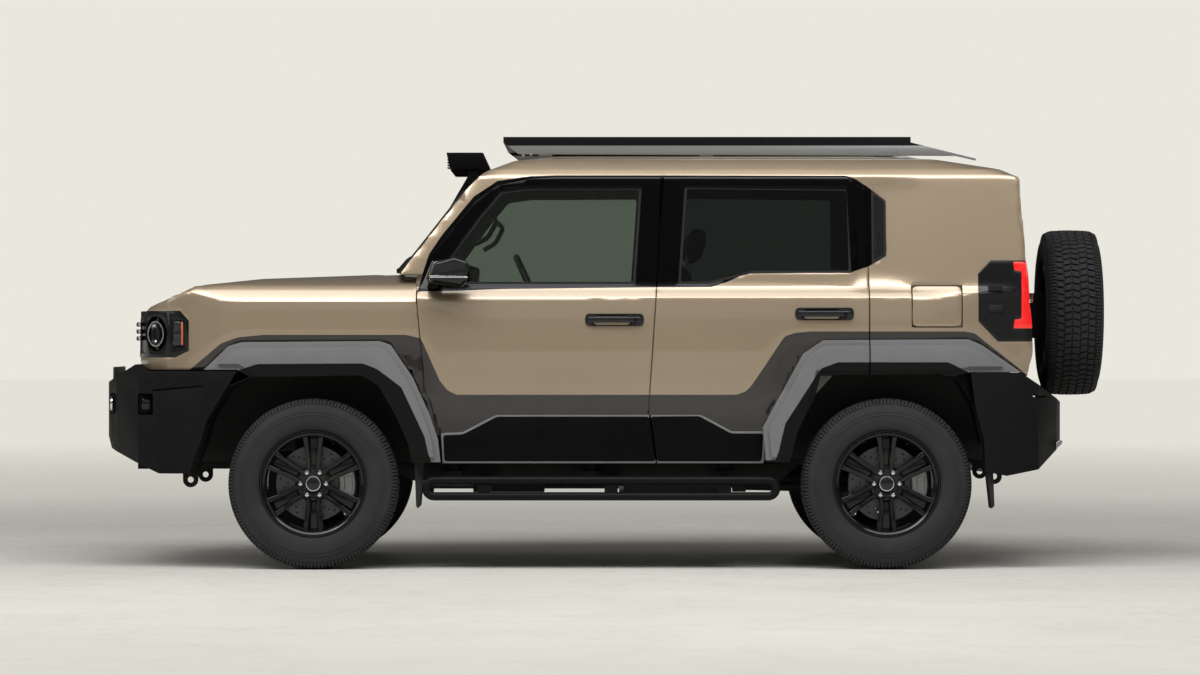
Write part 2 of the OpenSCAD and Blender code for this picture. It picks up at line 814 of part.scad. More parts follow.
// Lining of a wheel arch, closed on its inner side
module liner(y0, y1, z_cut) {
    difference() {
        intersection() {
            side_prism(y0, y1) offset(delta = liner_t) children();
            box([f(-900), y0 - 1, z_cut], [r(900), y1 + 1, roof_h]);
        }
        side_prism(y0 + liner_t, y1 + 1) children();
    }
}

module wheel_liners() {
    color(trim) both_sides() {
        difference() {
            liner(front_liner_y, flare_in - seat_gap, hub_z + 90) polygon(front_arch());
            // room for the suspension arms and the spring tower
            box([f(-210), front_liner_y - 1, hub_z], [f(210), front_liner_y + liner_t + 1, hub_z + 290]);
        }
        liner(load_half + seat_gap, body_half - door_t - seat_gap, hub_z + 175) polygon(rear_arch());
    }
}

module mud_flaps() {
    color(trim) both_sides() {
        side_prism(body_half - 180, body_half - 45) polygon([
            [f(462), 285], [f(470), 273], [f(482), 285], [f(500), sill_h - seat_gap],
            [f(455), sill_h - seat_gap]
        ]);
        side_prism(body_half - 180, body_half - 20) polygon([
            [r(452), sill_h - 42.6], [r(470), 273], [r(484), 285], [r(478), sill_h - 47.6]
        ]);
    }
}

// ---- chassis ----

rail_d = 80;                 // depth of the frame rails
rail_z0 = hub_z + 55;        // underside of the rails at the front axle
mid_rail_z = floor_z - 26 - rail_d;
axle_rail_z = hub_z + 120;
tail_rail_z = hub_z + 95;

// Side view of a frame rail, which drops under the cabin and rises over the rear axle
function rail_line() = [
    [f(-760), rail_z0], [f(300), rail_z0], [f(440), mid_rail_z], [r(-460), mid_rail_z],
    [r(-330), axle_rail_z], [r(330), axle_rail_z], [r(450), tail_rail_z], [r(560), tail_rail_z]
];
function rail_shape() = concat(
    rail_line(), [for (i = [len(rail_line()) - 1:-1:0]) rail_line()[i] + [0, rail_d]]
);

module crossmember(x, z) {
    box([x, -rail_y0 - 1, z + 15], [x + 50, rail_y0 + 1, z + 60]);
}

module chassis_frame() {
    color(metal) {
        both_sides() {
            side_prism(rail_y0, rail_y1) polygon(rail_shape());
            recovery_plate(f(-590), rail_z0 - 50, rail_z0 + 40);
            recovery_plate(r(520), tail_rail_z - 75, tail_rail_z + 30);
            // body mounts
            for (x = [f(620), f(1250), r(-720)]) {
                box([x - 40, rail_y1 - 1, mid_rail_z + 20], [x + 40, 520, mid_rail_z + 50]);
                translate([x, 480, mid_rail_z + 49])
                    cylinder(r = 32, h = floor_z - mid_rail_z - 49 - seat_gap);
            }
        }
        for (x = [f(-745), f(-330), f(230)]) crossmember(x, rail_z0);
        for (x = [f(560), f(940)]) crossmember(x, mid_rail_z);
        crossmember(r(-1290), mid_rail_z + 16);
        crossmember(r(-330), axle_rail_z);
        crossmember(r(180), axle_rail_z);
        crossmember(r(480), tail_rail_z);
    }
}

module engine() {
    color(metal) box([f(-320), -260, rail_z0 + 60 + seat_gap], [f(240), 260, belt_h - 170]);
}

kingpin_y = track / 2 - scrub;
knuckle_top = hub_z + 135;
knuckle_low = hub_z - 135;
arm_z = hub_z - 115;         // height of the lower arms' inner ends
upper_z = hub_z + 150;

module front_suspension() {
    color(metal) {
        both_sides() {
            difference() {
                union() {
                    // lower and upper arms with their ball joints
                    for (x = [-160, 160]) rod([f(x), 320, arm_z],
                    [f(0), kingpin_y, knuckle_low - 28], 18);
                    translate([f(0), kingpin_y, knuckle_low - 46]) cylinder(r = 34, h = 38);
                    for (x = [-90, 90]) rod([f(x), 430, upper_z],
                    [f(0), kingpin_y, knuckle_top + 28], 14);
                    translate([f(0), kingpin_y, knuckle_top + 8]) cylinder(r = 30, h = 36);
                }
                translate([f(0), kingpin_y, knuckle_low - 50]) cylinder(r = 12 + pin_gap, h = 60);
                translate([f(0), kingpin_y, knuckle_top]) cylinder(r = 12 + pin_gap, h = 60);
            }
            // arm brackets under the rail and the spring tower beside it
            for (x = [-180, 140]) box([f(x), 300, arm_z - 22], [f(x + 40), 340, rail_z0 - seat_gap]);
            box([f(-110), rail_y1 + seat_gap, rail_z0], [f(110), 440, rail_z0 + 200]);
            // half shaft
            rod([f(0), 180, hub_z - 20], [f(0), kingpin_y - 64, hub_z], 18);
        }
        // axle housing with the differential, hung from the arm brackets
        translate([f(0), -190, hub_z - 20]) rotate([-90, 0, 0]) cylinder(r = 40, h = 380);
        translate([f(0), 90, hub_z - 20]) rotate([-90, 0, 0]) cylinder(r = 70, h = 110);
        for (x = [-180, 140]) box([f(x), -301, arm_z - 22], [f(x + 40), 301, arm_z + 8]);
        box([f(-181), -15, arm_z], [f(181), 15, hub_z - 30]);
    }
}

// Carries a front wheel. Drawn for the right side, turning about the kingpin
module knuckle() {
    color(metal) {
        translate([f(0), kingpin_y, knuckle_low]) cylinder(r = 22, h = knuckle_top - knuckle_low);
        translate([f(0), kingpin_y, knuckle_low - 42]) cylinder(r = 12, h = 60);
        translate([f(0), kingpin_y, knuckle_top - 20]) cylinder(r = 12, h = 60);
        translate([f(0), kingpin_y - 30, hub_z]) rotate([-90, 0, 0]) cylinder(r = 55, h = 75);
        stub();
        // backing plate and caliper
        translate([f(0), kingpin_y - 8, hub_z]) rotate([-90, 0, 0]) cylinder(r = 120, h = 6);
        box([f(105), kingpin_y - 8, hub_z - 60], [f(165), kingpin_y + 32, hub_z + 60]);
    }
}

stub_r = 30;
stub_in = 38;         // length of the stub inside the wheel's hub
wheel_face = 34;      // from the middle of the tyre to the wheel disc's inner face

// Stub axle that a wheel turns on
module stub() {
    translate([f(0), kingpin_y, hub_z]) rotate([-90, 0, 0])
        cylinder(r = stub_r, h = scrub + wheel_face + stub_in);
}

module rear_axle() {
    color(metal) {
        translate([r(0), -track / 2 + 40, hub_z]) rotate([-90, 0, 0]) cylinder(r = 42, h = track - 80);
        translate([r(0), 0, hub_z]) rotate([0, 90, 0]) translate([0, 0, -90]) cylinder(r = 105, h = 150);
        both_sides() {
            translate([r(0), track / 2 - 60, hub_z]) rotate([-90, 0, 0])
                cylinder(r = stub_r, h = 60 + wheel_face + stub_in);
            translate([r(0), track / 2 - 70, hub_z]) rotate([-90, 0, 0]) cylinder(r = 120, h = 12);
            // coil spring and its seat
            translate([r(90), rail_y0 + 35, hub_z + 10])
                cylinder(r = 48, h = axle_rail_z - hub_z - 10 - seat_gap);
            box([r(-30), rail_y0, hub_z - 20], [r(140), rail_y0 + 80, hub_z + 11]);
            // trailing arm
            rod([r(0), 300, hub_z - 40], [r(-640), 300, mid_rail_z - 25], 20);
            box([r(-680), 279, mid_rail_z - 50], [r(-620), rail_y1, mid_rail_z - seat_gap]);
        }
        // propeller shaft with the transfer case, on its crossmember
        rod([r(-60), 0, hub_z], [f(1020), 0, mid_rail_z - 5], 32);
        box([f(700), -130, mid_rail_z - 60], [f(1030), 130, mid_rail_z + 15 - seat_gap]);
    }
}

module exhaust() {
    z = mid_rail_z - 30;
    over_z = axle_rail_z - 33;
    y = 240;
    points = [
        [f(480), y, z], [r(-700), y, z], [r(-330), y, over_z], [r(230), y, over_z],
        [r(420), 480, over_z - 32], [r(620), 560, over_z - 55]
    ];
    color(metal) {
        for (k = [0:len(points) - 2]) rod(points[k], points[k + 1], 26);
        for (k = [1:len(points) - 2]) translate(points[k]) sphere(r = 27.5);
        rod([r(-1200), y, z - 10], [r(-760), y, z - 10], 62);
        // hanger on a crossmember
        box([f(955), y - 6, z], [f(975), y + 6, mid_rail_z + 15 - seat_gap]);
    }
}

module fuel_tank() {
    color(trim) box([r(-1180), -rail_y0 + seat_gap, mid_rail_z - 60], [r(-700), -80, floor_z - seat_gap]);
}

// ---- cabin fittings ----

dash_x = f(480);
wheel_y = -370;      // left-hand drive

module dashboard() {
    half = wall_y - 30;
    color(trim) difference() {
        union() {
            side_prism(-half, half) polygon([
                [dash_x, belt_h - 340], [dash_x, belt_h - 15], [f(700), belt_h - 20],
                [f(880), belt_h - 60],
                [f(900), belt_h - 150], [f(820), belt_h - 330]
            ]);
            box([f(820), -console_half, floor_z + floor_t], [f(1500), console_half, floor_z + 260]);
            box([f(700), -console_half, floor_z + floor_t], [f(821), console_half, belt_h - 320]);
        }
        at_column() translate([0, 0, -190]) cylinder(r = column_r + pin_gap, h = 190);
    }
}

// On the steering column's axis, its +Z towards the driver
module at_column() {
    translate([f(985), wheel_y, belt_h - 25]) rotate([0, column_tilt, 0]) children();
}

column_tilt = 65;
steering_r = 188;

column_r = 20;
module steering_wheel() {
    color(trim) at_column() {
        rotate_extrude() translate([steering_r, 0]) circle(r = 15);
        cylinder(r = 45, h = 40, center = true);
        translate([0, 0, -180]) cylinder(r = column_r, h = 180);
        for (a = [0, 90, 180]) rotate([0, 0, a + 90]) box([0, -16, -9], [steering_r, 16, 9]);
    }
}

seat_w = wall_y - 162;
seat_y = wall_y - seat_w / 2 - 22;
console_half = wall_y - seat_w - 34;
bench_w = 2 * (wall_y - 112);
module seat(x, y, width, heads) {
    translate([x, y, floor_z + floor_t]) {
        box([0, -width / 2, 130], [520, width / 2, 300]);
        box([60, -width / 2 + 40, 0], [460, width / 2 - 40, 131]);
        side_prism(-width / 2, width / 2) polygon([
            [430, 300], [560, 300], [740, 850], [640, 860]
        ]);
        for (h = heads) translate([0, h, 0]) side_prism(-120, 120) polygon([
            [650, 850], [735, 850], [765, 1010], [695, 1015]
        ]);
    }
}

module seats() {
    color(trim) {
        for (side = [-1, 1]) seat(f(1000), side * seat_y, seat_w, [0]);
        difference() {
            seat(r(-790), 0, bench_w, [190 - bench_w / 2, bench_w / 2 - 190]);
            box([r(-480) - seat_gap, -1000, 0], [r(0), 1000, load_z + seat_gap]);
        }
    }
}

// ---- equipment ----

step_x0 = f(545);
step_x1 = r(-535);
step_y = body_half + 8;
step_z0 = sill_h - 150;
step_z1 = sill_h - 78;

module side_steps() {
    rise = (step_z1 - step_z0) / 2;
    color(metal) both_sides() {
        for (z = [step_z0, step_z1]) rod([step_x0, step_y, z], [step_x1, step_y, z], step_r);
        translate([step_x1, step_y, step_z0 + rise]) step_end();
        translate([step_x0, step_y, step_z0 + rise]) mirror([1, 0, 0]) step_end();
        // tread and brackets to the frame rail
        box([step_x0, step_y - 110, step_z1 - 6], [step_x1, step_y, step_z1 + 6]);
        for (x = [f(740), (f(740) + r(-700)) / 2, r(-760)]) {
            box([x, rail_y1 + seat_gap, step_z1 - 22], [x + 60, step_y - 40, step_z1 - 5]);
            box([x, rail_y1 + seat_gap, step_z1 - 22], [x + 60, rail_y1 + 14, mid_rail_z + 18]);
            box([x, step_y - 41, step_z0 - 8], [x + 60, step_y, step_z1 - 5]);
        }
    }
}

// Half ring that joins the two tubes at the rear end of a side step
module step_end() {
    rotate([90, 0, 0]) rotate([0, 0, -90]) rotate_extrude(angle = 180)
        translate([(step_z1 - step_z0) / 2, 0]) circle(r = step_r);
}

rack_x0 = f(850);
rack_x1 = r(124);
rack_t = 26;

module roof_rack() {
    color(metal) difference() {
        union() {
            both_sides() {
                // edge beam and the fairing plate under it
                box([rack_x0, rack_half - 45, rack_h - rack_t], [rack_x1, rack_half, rack_h]);
                side_prism(rack_half - 8, rack_half) polygon([
                    [rack_x0, rack_h - rack_t + 1], [rack_x0 + 70, roof_h + 9], [r(330), roof_h + 1],
                    [r(420), roof_h - 20], [r(420), roof_h - 10], [rack_x1, rack_h - rack_t + 1]
                ]);
                // feet
                for (x = [f(1010), (f(1010) + r(-100)) / 2, r(-100)])
                    box([x, rack_half - 40, roof_h + seat_gap],
                        [x + 60, rack_half - 7, rack_h - rack_t + 1]);
            }
            box([rack_x0, -rack_half, rack_h - rack_t], [rack_x0 + 45, rack_half, rack_h]);
            box([rack_x1 - 45, -rack_half, rack_h - rack_t], [rack_x1, rack_half, rack_h]);
            for (y = [-500:125:500])
                box([rack_x0 + 44, y - 35, rack_h - 16], [rack_x1 - 44, y + 35, rack_h]);
            for (k = [1:5]) {
                x = rack_x0 + (rack_x1 - rack_x0) * k / 6;
                box([x - 20, -rack_half + 40, rack_h - rack_t], [x + 20, rack_half - 40, rack_h - 15]);
            }
        }
        for (x = [-1, 1], y = [-1, 1])
            translate([(rack_x0 + rack_x1 + x * rack_hole_l) / 2, y * rack_hole_w / 2, rack_h - rack_t - 5])
                cylinder(r = rack_hole_r, h = rack_t + 10);
    }
}

// Raised air intake on the right: a box on the fender, a riser along the pillar and a ram head
module air_intake() {
    riser_t = 52;
    color(trim) {
        difference() {
            side_prism(top_y - 80, body_half + 30) polygon([
                [f(250), belt_h - 20], [f(250), belt_h + 66], [f(370), belt_h + 72],
                [f(655), roof_h - 40],
                [f(655), roof_h - 10], [f(700), roof_h - 10], [f(700), roof_h - 72],
                [f(425), belt_h + 40],
                [f(410), belt_h - 20]
            ]);
            // it lies on the fender and the pillar
            cabin_block(-seat_gap);
            nose_block(-seat_gap);
            box([f(0), 0, 0], [f(900), top_y - 60, roof_h + 100]);
            cross_prism(f(0), f(1000)) polygon([
                [body_half + 28, 0], [body_half + 28, belt_h + 20], [belt_y + riser_t, belt_h + 62],
                [top_y + riser_t, frame_top], [top_y + riser_t - 18, roof_h + 20],
                [body_half + 200, roof_h + 20],
                [body_half + 200, 0]
            ]);
        }
        // ram head
        intersection() {
            side_prism(top_y - 75, top_y + 65) polygon([
                [f(548), roof_h + 68], [f(568), roof_h - 18], [f(590), roof_h - 46],
                [f(700), roof_h - 46],
                [f(766), roof_h - 22], [f(725), roof_h + 68]
            ]);
            cross_prism(f(500), f(800)) polygon([
                [top_y - 75, roof_h - 12], [top_y - 75, roof_h + 70], [top_y + 65, roof_h + 70],
                [top_y + 65, roof_h - 50],
                [top_y - 14, roof_h - 50], [top_y - 22, roof_h - 12]
            ]);
        }
    }
}

// Outside mirror, joined to the front corner of the door's window frame
module mirror_shape() {
    intersection() {
        side_prism(body_half + 35, body_half + 165) polygon([
            [f(515), belt_h + 30], [f(530), belt_h + 10], [f(680), belt_h + 2], [f(695), belt_h + 25],
            [f(700), belt_h + 115], [f(640), belt_h + 130], [f(545), belt_h + 120]
        ]);
        plan_prism(0, roof_h) polygon([
            [f(515), body_half + 60], [f(560), body_half + 35], [f(700), body_half + 35],
            [f(700), body_half + 165],
            [f(580), body_half + 160], [f(530), body_half + 120]
        ]);
    }
    // arm
    side_prism(belt_y - 6, body_half + 50) polygon([
        [f(505), belt_h + 2], [f(530), belt_h + 52], [f(575), belt_h + 52], [f(556), belt_h + 2]
    ]);
}

// ---- tailgate ----

tail_z0 = sill_h + 421;
tail_z1 = frame_top - 58;
gate_hinge_x = r(667) + hinge_out;
gate_hinge_y = tailgate_half + 2;
gate_swing = swing_out(2 * tailgate_half, 95);
gate_hinges = [[tail_z0 + 20, tail_z0 + 50], [tail_z0 + 70, tail_z0 + 100]];

tail_window = [
    [110 - tailgate_half, belt_h + 50], [tailgate_half - 110, belt_h + 50],
    [tailgate_half - 140, frame_top - 130], [140 - tailgate_half, frame_top - 130]
];

// The tailgate's outline grown by an amount, seen from behind. Its free edge is on the left
module gate_outline(grow, free) {
    cross_prism(r(480), r(720)) polygon([
        [-tailgate_half - free, tail_z0 - grow], [tailgate_half + grow, tail_z0 - grow],
        [tailgate_half + grow, tail_z1 + grow], [-tailgate_half - free, tail_z1 + grow]
    ]);
}

// Opening in the body sides that the tailgate closes
module gate_opening() {
    gate_outline(panel_gap / 2, panel_gap / 2);
    mirror([0, 1, 0]) gate_outline(panel_gap / 2, panel_gap / 2);
}

// The tail of the cabin down to a depth
module tail_layer(depth) {
    difference() {
        cabin_block(0);
        side_prism(-1000, 1000) polygon(concat(
            [for (p = [[r(607), roof_h - 98], [r(645), belt_h], [r(667), sill_h + 505],
            [r(640), sill_h + 400]])
                [p[0] - depth, p[1]]],
            [[r(500), sill_h + 300], [r(0), sill_h], [r(0), roof_h]]
        ));
    }
}

module tailgate() {
    color(paint) {
        difference() {
            union() {
                intersection() {
                    tail_layer(skin_t);
                    gate_outline(-panel_gap / 2, -panel_gap / 2 - gate_swing);
                }
                intersection() {
                    tail_layer(tailgate_t);
                    gate_outline(-tongue, -tongue);
                }
            }
            cross_prism(r(480), r(720)) polygon(tail_window);
        }
        // hinges that roll on the body side's edge
        for (z = gate_hinges) gate_hinge(z[0], z[1], hinge_r, 14);
        spare_carrier();
    }
}

module gate_hinge(z0, z1, radius, lip) {
    intersection() {
        translate([gate_hinge_x, gate_hinge_y, z0]) cylinder(r = radius, h = z1 - z0);
        box([0, 0, z0 - 1], [gate_hinge_x - lip, roof_h, z1 + 1]);
    }
}

module tailgate_glass() {
    color(glass) intersection() {
        tail_layer(20 + glass_t);
        difference() {
            cross_prism(r(560), r(720)) polygon(tail_window);
            tail_layer(20);
        }
    }
}

spare_z = belt_h - 105;
spare_x = r(rear_overhang) - tyre_w / 2;

// Bracket for the spare wheel, reaching into its dish
module spare_carrier() {
    difference() {
        union() {
            box([r(600), -130, spare_z - 120], [spare_x - tyre_w / 2 + 20, 130, spare_z + 90]);
            translate([r(680), 0, spare_z]) rotate([0, 90, 0]) {
                cylinder(r = 75, h = spare_x + wheel_face - seat_gap - r(680));
                cylinder(r = stub_r, h = spare_x + wheel_face + stub_in - r(680));
            }
        }
        cabin_block(5);
    }
}

// ---- wheels ----

bead_r = rim_d / 2;
side_wall = (tyre_d - rim_d) / 2;

// Tyre about the Z axis, its middle at z = 0
module tyre_shape() {
    w = tyre_w / 2;
    bead = bead_r + 12;
    color(trim) rotate_extrude() polygon([
        [bead_r, -w + 28], [bead, -w + 28], [bead + 10, -w + 10], [bead_r + side_wall * 0.45, -w],
        [bead_r + side_wall * 0.72, -w + 3], [tyre_d / 2 - 18, -w + 16],
        [tyre_d / 2 - 4, -w + 40], [tyre_d / 2, 0],
        [tyre_d / 2 - 4, w - 40], [tyre_d / 2 - 18, w - 16], [bead_r + side_wall * 0.72, w - 3],
        [bead_r + side_wall * 0.45, w], [bead + 10, w - 10], [bead, w - 28], [bead_r, w - 28]
    ]);
}

// Rim with six paired spokes, its outside face towards +Z
module rim_shape() {
    w = tyre_w / 2;
    barrel = bead_r - seat_gap;
    flange = w - 28 + seat_gap;
    spoke_z = wheel_face + 8;
    color(metal) {
        rotate_extrude() polygon([
            [barrel, -flange], [barrel, flange], [bead_r + 10, flange], [bead_r + 10, flange + 7],
            [bead_r - 16, flange + 7], [bead_r - 22, w - 60], [bead_r - 14, -w + 30],
            [bead_r + 8, -flange - 6],
            [bead_r + 8, -flange]
        ]);
        difference() {
            union() {
                translate([0, 0, wheel_face]) cylinder(r = 92, h = 44);
                for (k = [0:5]) rotate([0, 0, k * 60 + 30]) both_sides() translate([0, 0, spoke_z])
                    linear_extrude(30) polygon([[70, 8], [bead_r - 18, 22], [bead_r - 18, 50], [70, 36]]);
            }
            translate([0, 0, wheel_face - 1]) cylinder(r = stub_r + pin_gap, h = stub_in + 1.5);
        }
    }
}

// A wheel piece at one corner: side -1 is left and 1 is right
module at_wheel(x, side) {
    translate([x, side * track / 2, hub_z]) rotate([-90 * side, 0, 0]) children();
}

module at_spare() {
    translate([spare_x, 0, spare_z]) rotate([0, 90, 0]) children();
}

chassis_frame();
floor_pan();
engine();
front_suspension();
rear_axle();
exhaust();
fuel_tank();
body_sides();
roof_panel();
both_sides() front_fender();  // front_fenders
wheel_liners();
bonnet();
grille();
both_sides() headlight();  // headlights
front_bumper();
rear_bumper();
tail_lamps();
wheel_flares();
fixed_glass();
dashboard();
steering_wheel();
seats();
side_steps();
roof_rack();
air_intake();
mud_flaps();
front_door();  // front_right_door
mirror([0, 1, 0]) front_door();  // front_left_door
rear_door();  // rear_right_door
mirror([0, 1, 0]) rear_door();  // rear_left_door
front_door_glass();  // front_right_glass
mirror([0, 1, 0]) front_door_glass();  // front_left_glass
rear_door_glass();  // rear_right_glass
mirror([0, 1, 0]) rear_door_glass();  // rear_left_glass
tailgate();
tailgate_glass();
at_spare() tyre_shape();  // spare_tyre
at_spare() rim_shape();  // spare_rim
fuel_lid();
knuckle();  // right_knuckle
mirror([0, 1, 0]) knuckle();  // left_knuckle
at_wheel(f(0), 1) tyre_shape();  // front_right_tyre
at_wheel(f(0), -1) tyre_shape();  // front_left_tyre
at_wheel(r(0), 1) tyre_shape();  // rear_right_tyre
at_wheel(r(0), -1) tyre_shape();  // rear_left_tyre
at_wheel(f(0), 1) rim_shape();  // front_right_rim
at_wheel(f(0), -1) rim_shape();  // front_left_rim
at_wheel(r(0), 1) rim_shape();  // rear_right_rim
at_wheel(r(0), -1) rim_shape();  // rear_left_rim
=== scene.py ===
# Looks for a lifted off-road 4x4 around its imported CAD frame. X runs to the rear, Y to the right, Z up, metres
import json
from math import cos, pi, radians, sin, sqrt
import bmesh
import bpy
import numpy as np
from mathutils import Matrix, Vector
from mathutils.bvhtree import BVHTree

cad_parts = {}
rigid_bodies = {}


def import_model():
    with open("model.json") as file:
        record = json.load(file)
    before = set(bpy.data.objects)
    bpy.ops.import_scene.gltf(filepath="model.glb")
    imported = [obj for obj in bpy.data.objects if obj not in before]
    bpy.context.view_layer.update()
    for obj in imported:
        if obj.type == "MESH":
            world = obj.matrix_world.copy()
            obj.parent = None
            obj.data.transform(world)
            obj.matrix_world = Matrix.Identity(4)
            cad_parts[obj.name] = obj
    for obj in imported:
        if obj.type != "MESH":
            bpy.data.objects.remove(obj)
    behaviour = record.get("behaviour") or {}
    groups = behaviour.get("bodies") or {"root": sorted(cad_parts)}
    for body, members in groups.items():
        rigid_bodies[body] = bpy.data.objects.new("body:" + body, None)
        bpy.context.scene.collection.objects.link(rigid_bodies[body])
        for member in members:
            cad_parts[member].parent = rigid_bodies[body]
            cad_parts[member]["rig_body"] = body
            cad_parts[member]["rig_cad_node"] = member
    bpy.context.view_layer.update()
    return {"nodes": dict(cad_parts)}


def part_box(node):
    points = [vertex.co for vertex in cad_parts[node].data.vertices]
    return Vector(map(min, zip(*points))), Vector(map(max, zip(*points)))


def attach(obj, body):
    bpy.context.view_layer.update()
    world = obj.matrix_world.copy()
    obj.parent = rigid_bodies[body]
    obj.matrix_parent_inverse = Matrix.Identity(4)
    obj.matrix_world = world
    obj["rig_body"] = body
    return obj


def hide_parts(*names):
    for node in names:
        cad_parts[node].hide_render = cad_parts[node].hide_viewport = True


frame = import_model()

scene = bpy.context.scene
nodes = frame["nodes"]
mergeGap = 0.00002  # points nearer than this are one


# Places, all from the frame

def middle(node):
    low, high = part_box(node)
    return (low + high) / 2


frontAxle = middle("front_left_rim").x
rearAxle = middle("rear_left_rim").x
hubHeight = middle("front_left_rim").z
wheelY = abs(middle("front_left_tyre").y)
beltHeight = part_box("front_left_glass")[0].z - 0.018
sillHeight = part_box("front_left_door")[0].z
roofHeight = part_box("roof_panel")[1].z
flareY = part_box("wheel_flares")[1].y
sideY = flareY - 0.037


def f(millimetres):
    return frontAxle + millimetres / 1000


def r(millimetres):
    return rearAxle + millimetres / 1000


def aboveBelt(*points):  # millimetres behind the front axle and above the belt line
    return [(f(x), beltHeight + z / 1000) for x, z in points]


# Small tools

def only(*pieces):
    if bpy.context.object and bpy.context.object.mode != "OBJECT":
        bpy.ops.object.mode_set(mode="OBJECT")
    bpy.ops.object.select_all(action="DESELECT")
    for piece in pieces:
        piece.select_set(True)
    bpy.context.view_layer.objects.active = pieces[0]


def named(name):
    piece = bpy.context.object
    piece.name = piece.data.name = name
    return piece


def settle(piece):  # puts the place and turn into the mesh
    only(piece)
    bpy.ops.object.transform_apply(location=True, rotation=True, scale=True)
    return piece


def modify(piece, kind, **settings):
    only(piece)
    step = piece.modifiers.new(kind.title(), kind)
    for key, value in settings.items():
        setattr(step, key, value)
    bpy.ops.object.modifier_apply(modifier=step.name)
    return piece


def cut(piece, tool, operation="DIFFERENCE"):
    modify(piece, "BOOLEAN", operation=operation, object=tool, solver="EXACT")
    bpy.data.objects.remove(tool)
    return piece


def bevelled(piece, width, segments, angle=30, **settings):
    return modify(piece, "BEVEL", width=width, segments=segments, limit_method="ANGLE", angle_limit=radians(angle),
                  **settings)


def soften(piece, width=0.003, segments=2, angle=32):
    return shine(bevelled(piece, width, segments, angle, miter_outer="MITER_ARC"))


def shine(piece, angle=34):
    only(piece)
    bpy.ops.object.shade_smooth_by_angle(angle=radians(angle))
    return piece


def pick(piece, wanted, kind="FACE"):  # selects faces or points by place, then enters edit mode
    only(piece)
    bpy.ops.object.mode_set(mode="EDIT")
    bpy.ops.mesh.select_mode(type=kind)
    bpy.ops.mesh.select_all(action="DESELECT")
    bpy.ops.object.mode_set(mode="OBJECT")
    if kind == "FACE":
        for face in piece.data.polygons:
            face.select = bool(wanted(face.center, face.normal))
    else:
        for point in piece.data.vertices:
            point.select = bool(wanted(point.co))
    bpy.ops.object.mode_set(mode="EDIT")


def done():
    bpy.ops.object.mode_set(mode="OBJECT")


def editAll(piece):  # enters edit mode with everything selected
    only(piece)
    bpy.ops.object.mode_set(mode="EDIT")
    bpy.ops.mesh.select_all(action="SELECT")


def faceOut():  # inside edit mode, turns every face outwards
    bpy.ops.mesh.select_all(action="SELECT")
    bpy.ops.mesh.normals_make_consistent(inside=False)
    done()


def outline3d(plane, across, up, depth):
    return {"xz": (across, depth, up), "yz": (depth, across, up), "xy": (across, up, depth)}[plane]


def slab(name, outline, plane, start, end):  # an outline drawn in one plane, extruded from start to end
    bpy.ops.object.select_all(action="DESELECT")
    bpy.ops.mesh.primitive_circle_add(vertices=len(outline), fill_type="NGON")
    piece = named(name)
    for point, (across, up) in zip(piece.data.vertices, outline):
        point.co = outline3d(plane, across, up, start)
    editAll(piece)
    move = Vector(outline3d(plane, 0, 0, end - start))
    bpy.ops.mesh.extrude_region_move(TRANSFORM_OT_translate={"value": move})
    faceOut()
    return piece


def block(name, low, high):  # the two corners in any order
    bpy.ops.object.select_all(action="DESELECT")
    low, high = Vector(map(min, low, high)), Vector(map(max, low, high))
    bpy.ops.mesh.primitive_cube_add(size=1, location=(low + high) / 2, scale=high - low)
    return settle(named(name))


def lined(piece, finish, wanted=None):  # gives all faces, or the wanted ones, a finish
    piece.data.materials.append(finish)
    for face in piece.data.polygons:
        if wanted is None or wanted(face.center, face.normal):
            face.material_index = len(piece.data.materials) - 1
    return piece


def lump(name, low, high, finish, width=0.003, segments=2):  # a block with softened edges
    return lined(soften(block(name, low, high), width, segments), finish)


def disc(name, centre, radius, depth, axis="y", sides=48):
    turn = {"x": (0, pi / 2, 0), "y": (pi / 2, 0, 0), "z": (0, 0, 0)}[axis]
    bpy.ops.object.select_all(action="DESELECT")
    bpy.ops.mesh.primitive_cylinder_add(vertices=sides, radius=radius, depth=depth, location=centre, rotation=turn)
    return settle(named(name))


def duplicate(piece, name, matrix=None):
    twin = piece.copy()
    twin.data = piece.data.copy()
    twin.name = twin.data.name = name
    scene.collection.objects.link(twin)
    if matrix is not None:
        twin.data.transform(matrix)
        if matrix.determinant() < 0:
            twin.data.flip_normals()
    return twin


mirrorY = Matrix.Scale(-1, 4, (0, 1, 0))


def mirrored(piece, name):
    return duplicate(piece, name, mirrorY)


def join(name, *pieces):
    only(*pieces)
    if len(pieces) > 1:
        bpy.ops.object.join()
    return named(name)


def camel(node):
    first, *rest = node.split("_")
    return first + "".join(word.title() for word in rest)


def cadCopy(node, name):  # a merged copy of a CAD node's loose triangles
    bpy.ops.object.select_all(action="DESELECT")
    piece = duplicate(nodes[node], name)
    piece.parent = None
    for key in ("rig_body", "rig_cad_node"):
        if key in piece:
            del piece[key]
    piece.data.materials.clear()
    editAll(piece)
    bpy.ops.mesh.remove_doubles(threshold=mergeGap)
    bpy.ops.mesh.dissolve_limited(angle_limit=radians(0.2))
    done()
    return piece


def spinProfile(name, profile, steps=96, axis="y"):  # profile points are (radius, along the axis)
    bpy.ops.object.select_all(action="DESELECT")
    bpy.ops.mesh.primitive_circle_add(vertices=len(profile), fill_type="NOTHING")
    piece = named(name)
    for point, (radius, along) in zip(piece.data.vertices, profile):
        point.co = {"y": (radius, along, 0), "x": (along, radius, 0)}[axis]
    editAll(piece)
    turn = {"y": (0, 1, 0), "x": (1, 0, 0)}[axis]
    bpy.ops.mesh.spin(steps=steps, angle=2 * pi, center=(0, 0, 0), axis=turn)
    bpy.ops.mesh.select_all(action="SELECT")
    bpy.ops.mesh.remove_doubles(threshold=mergeGap)
    faceOut()
    return piece


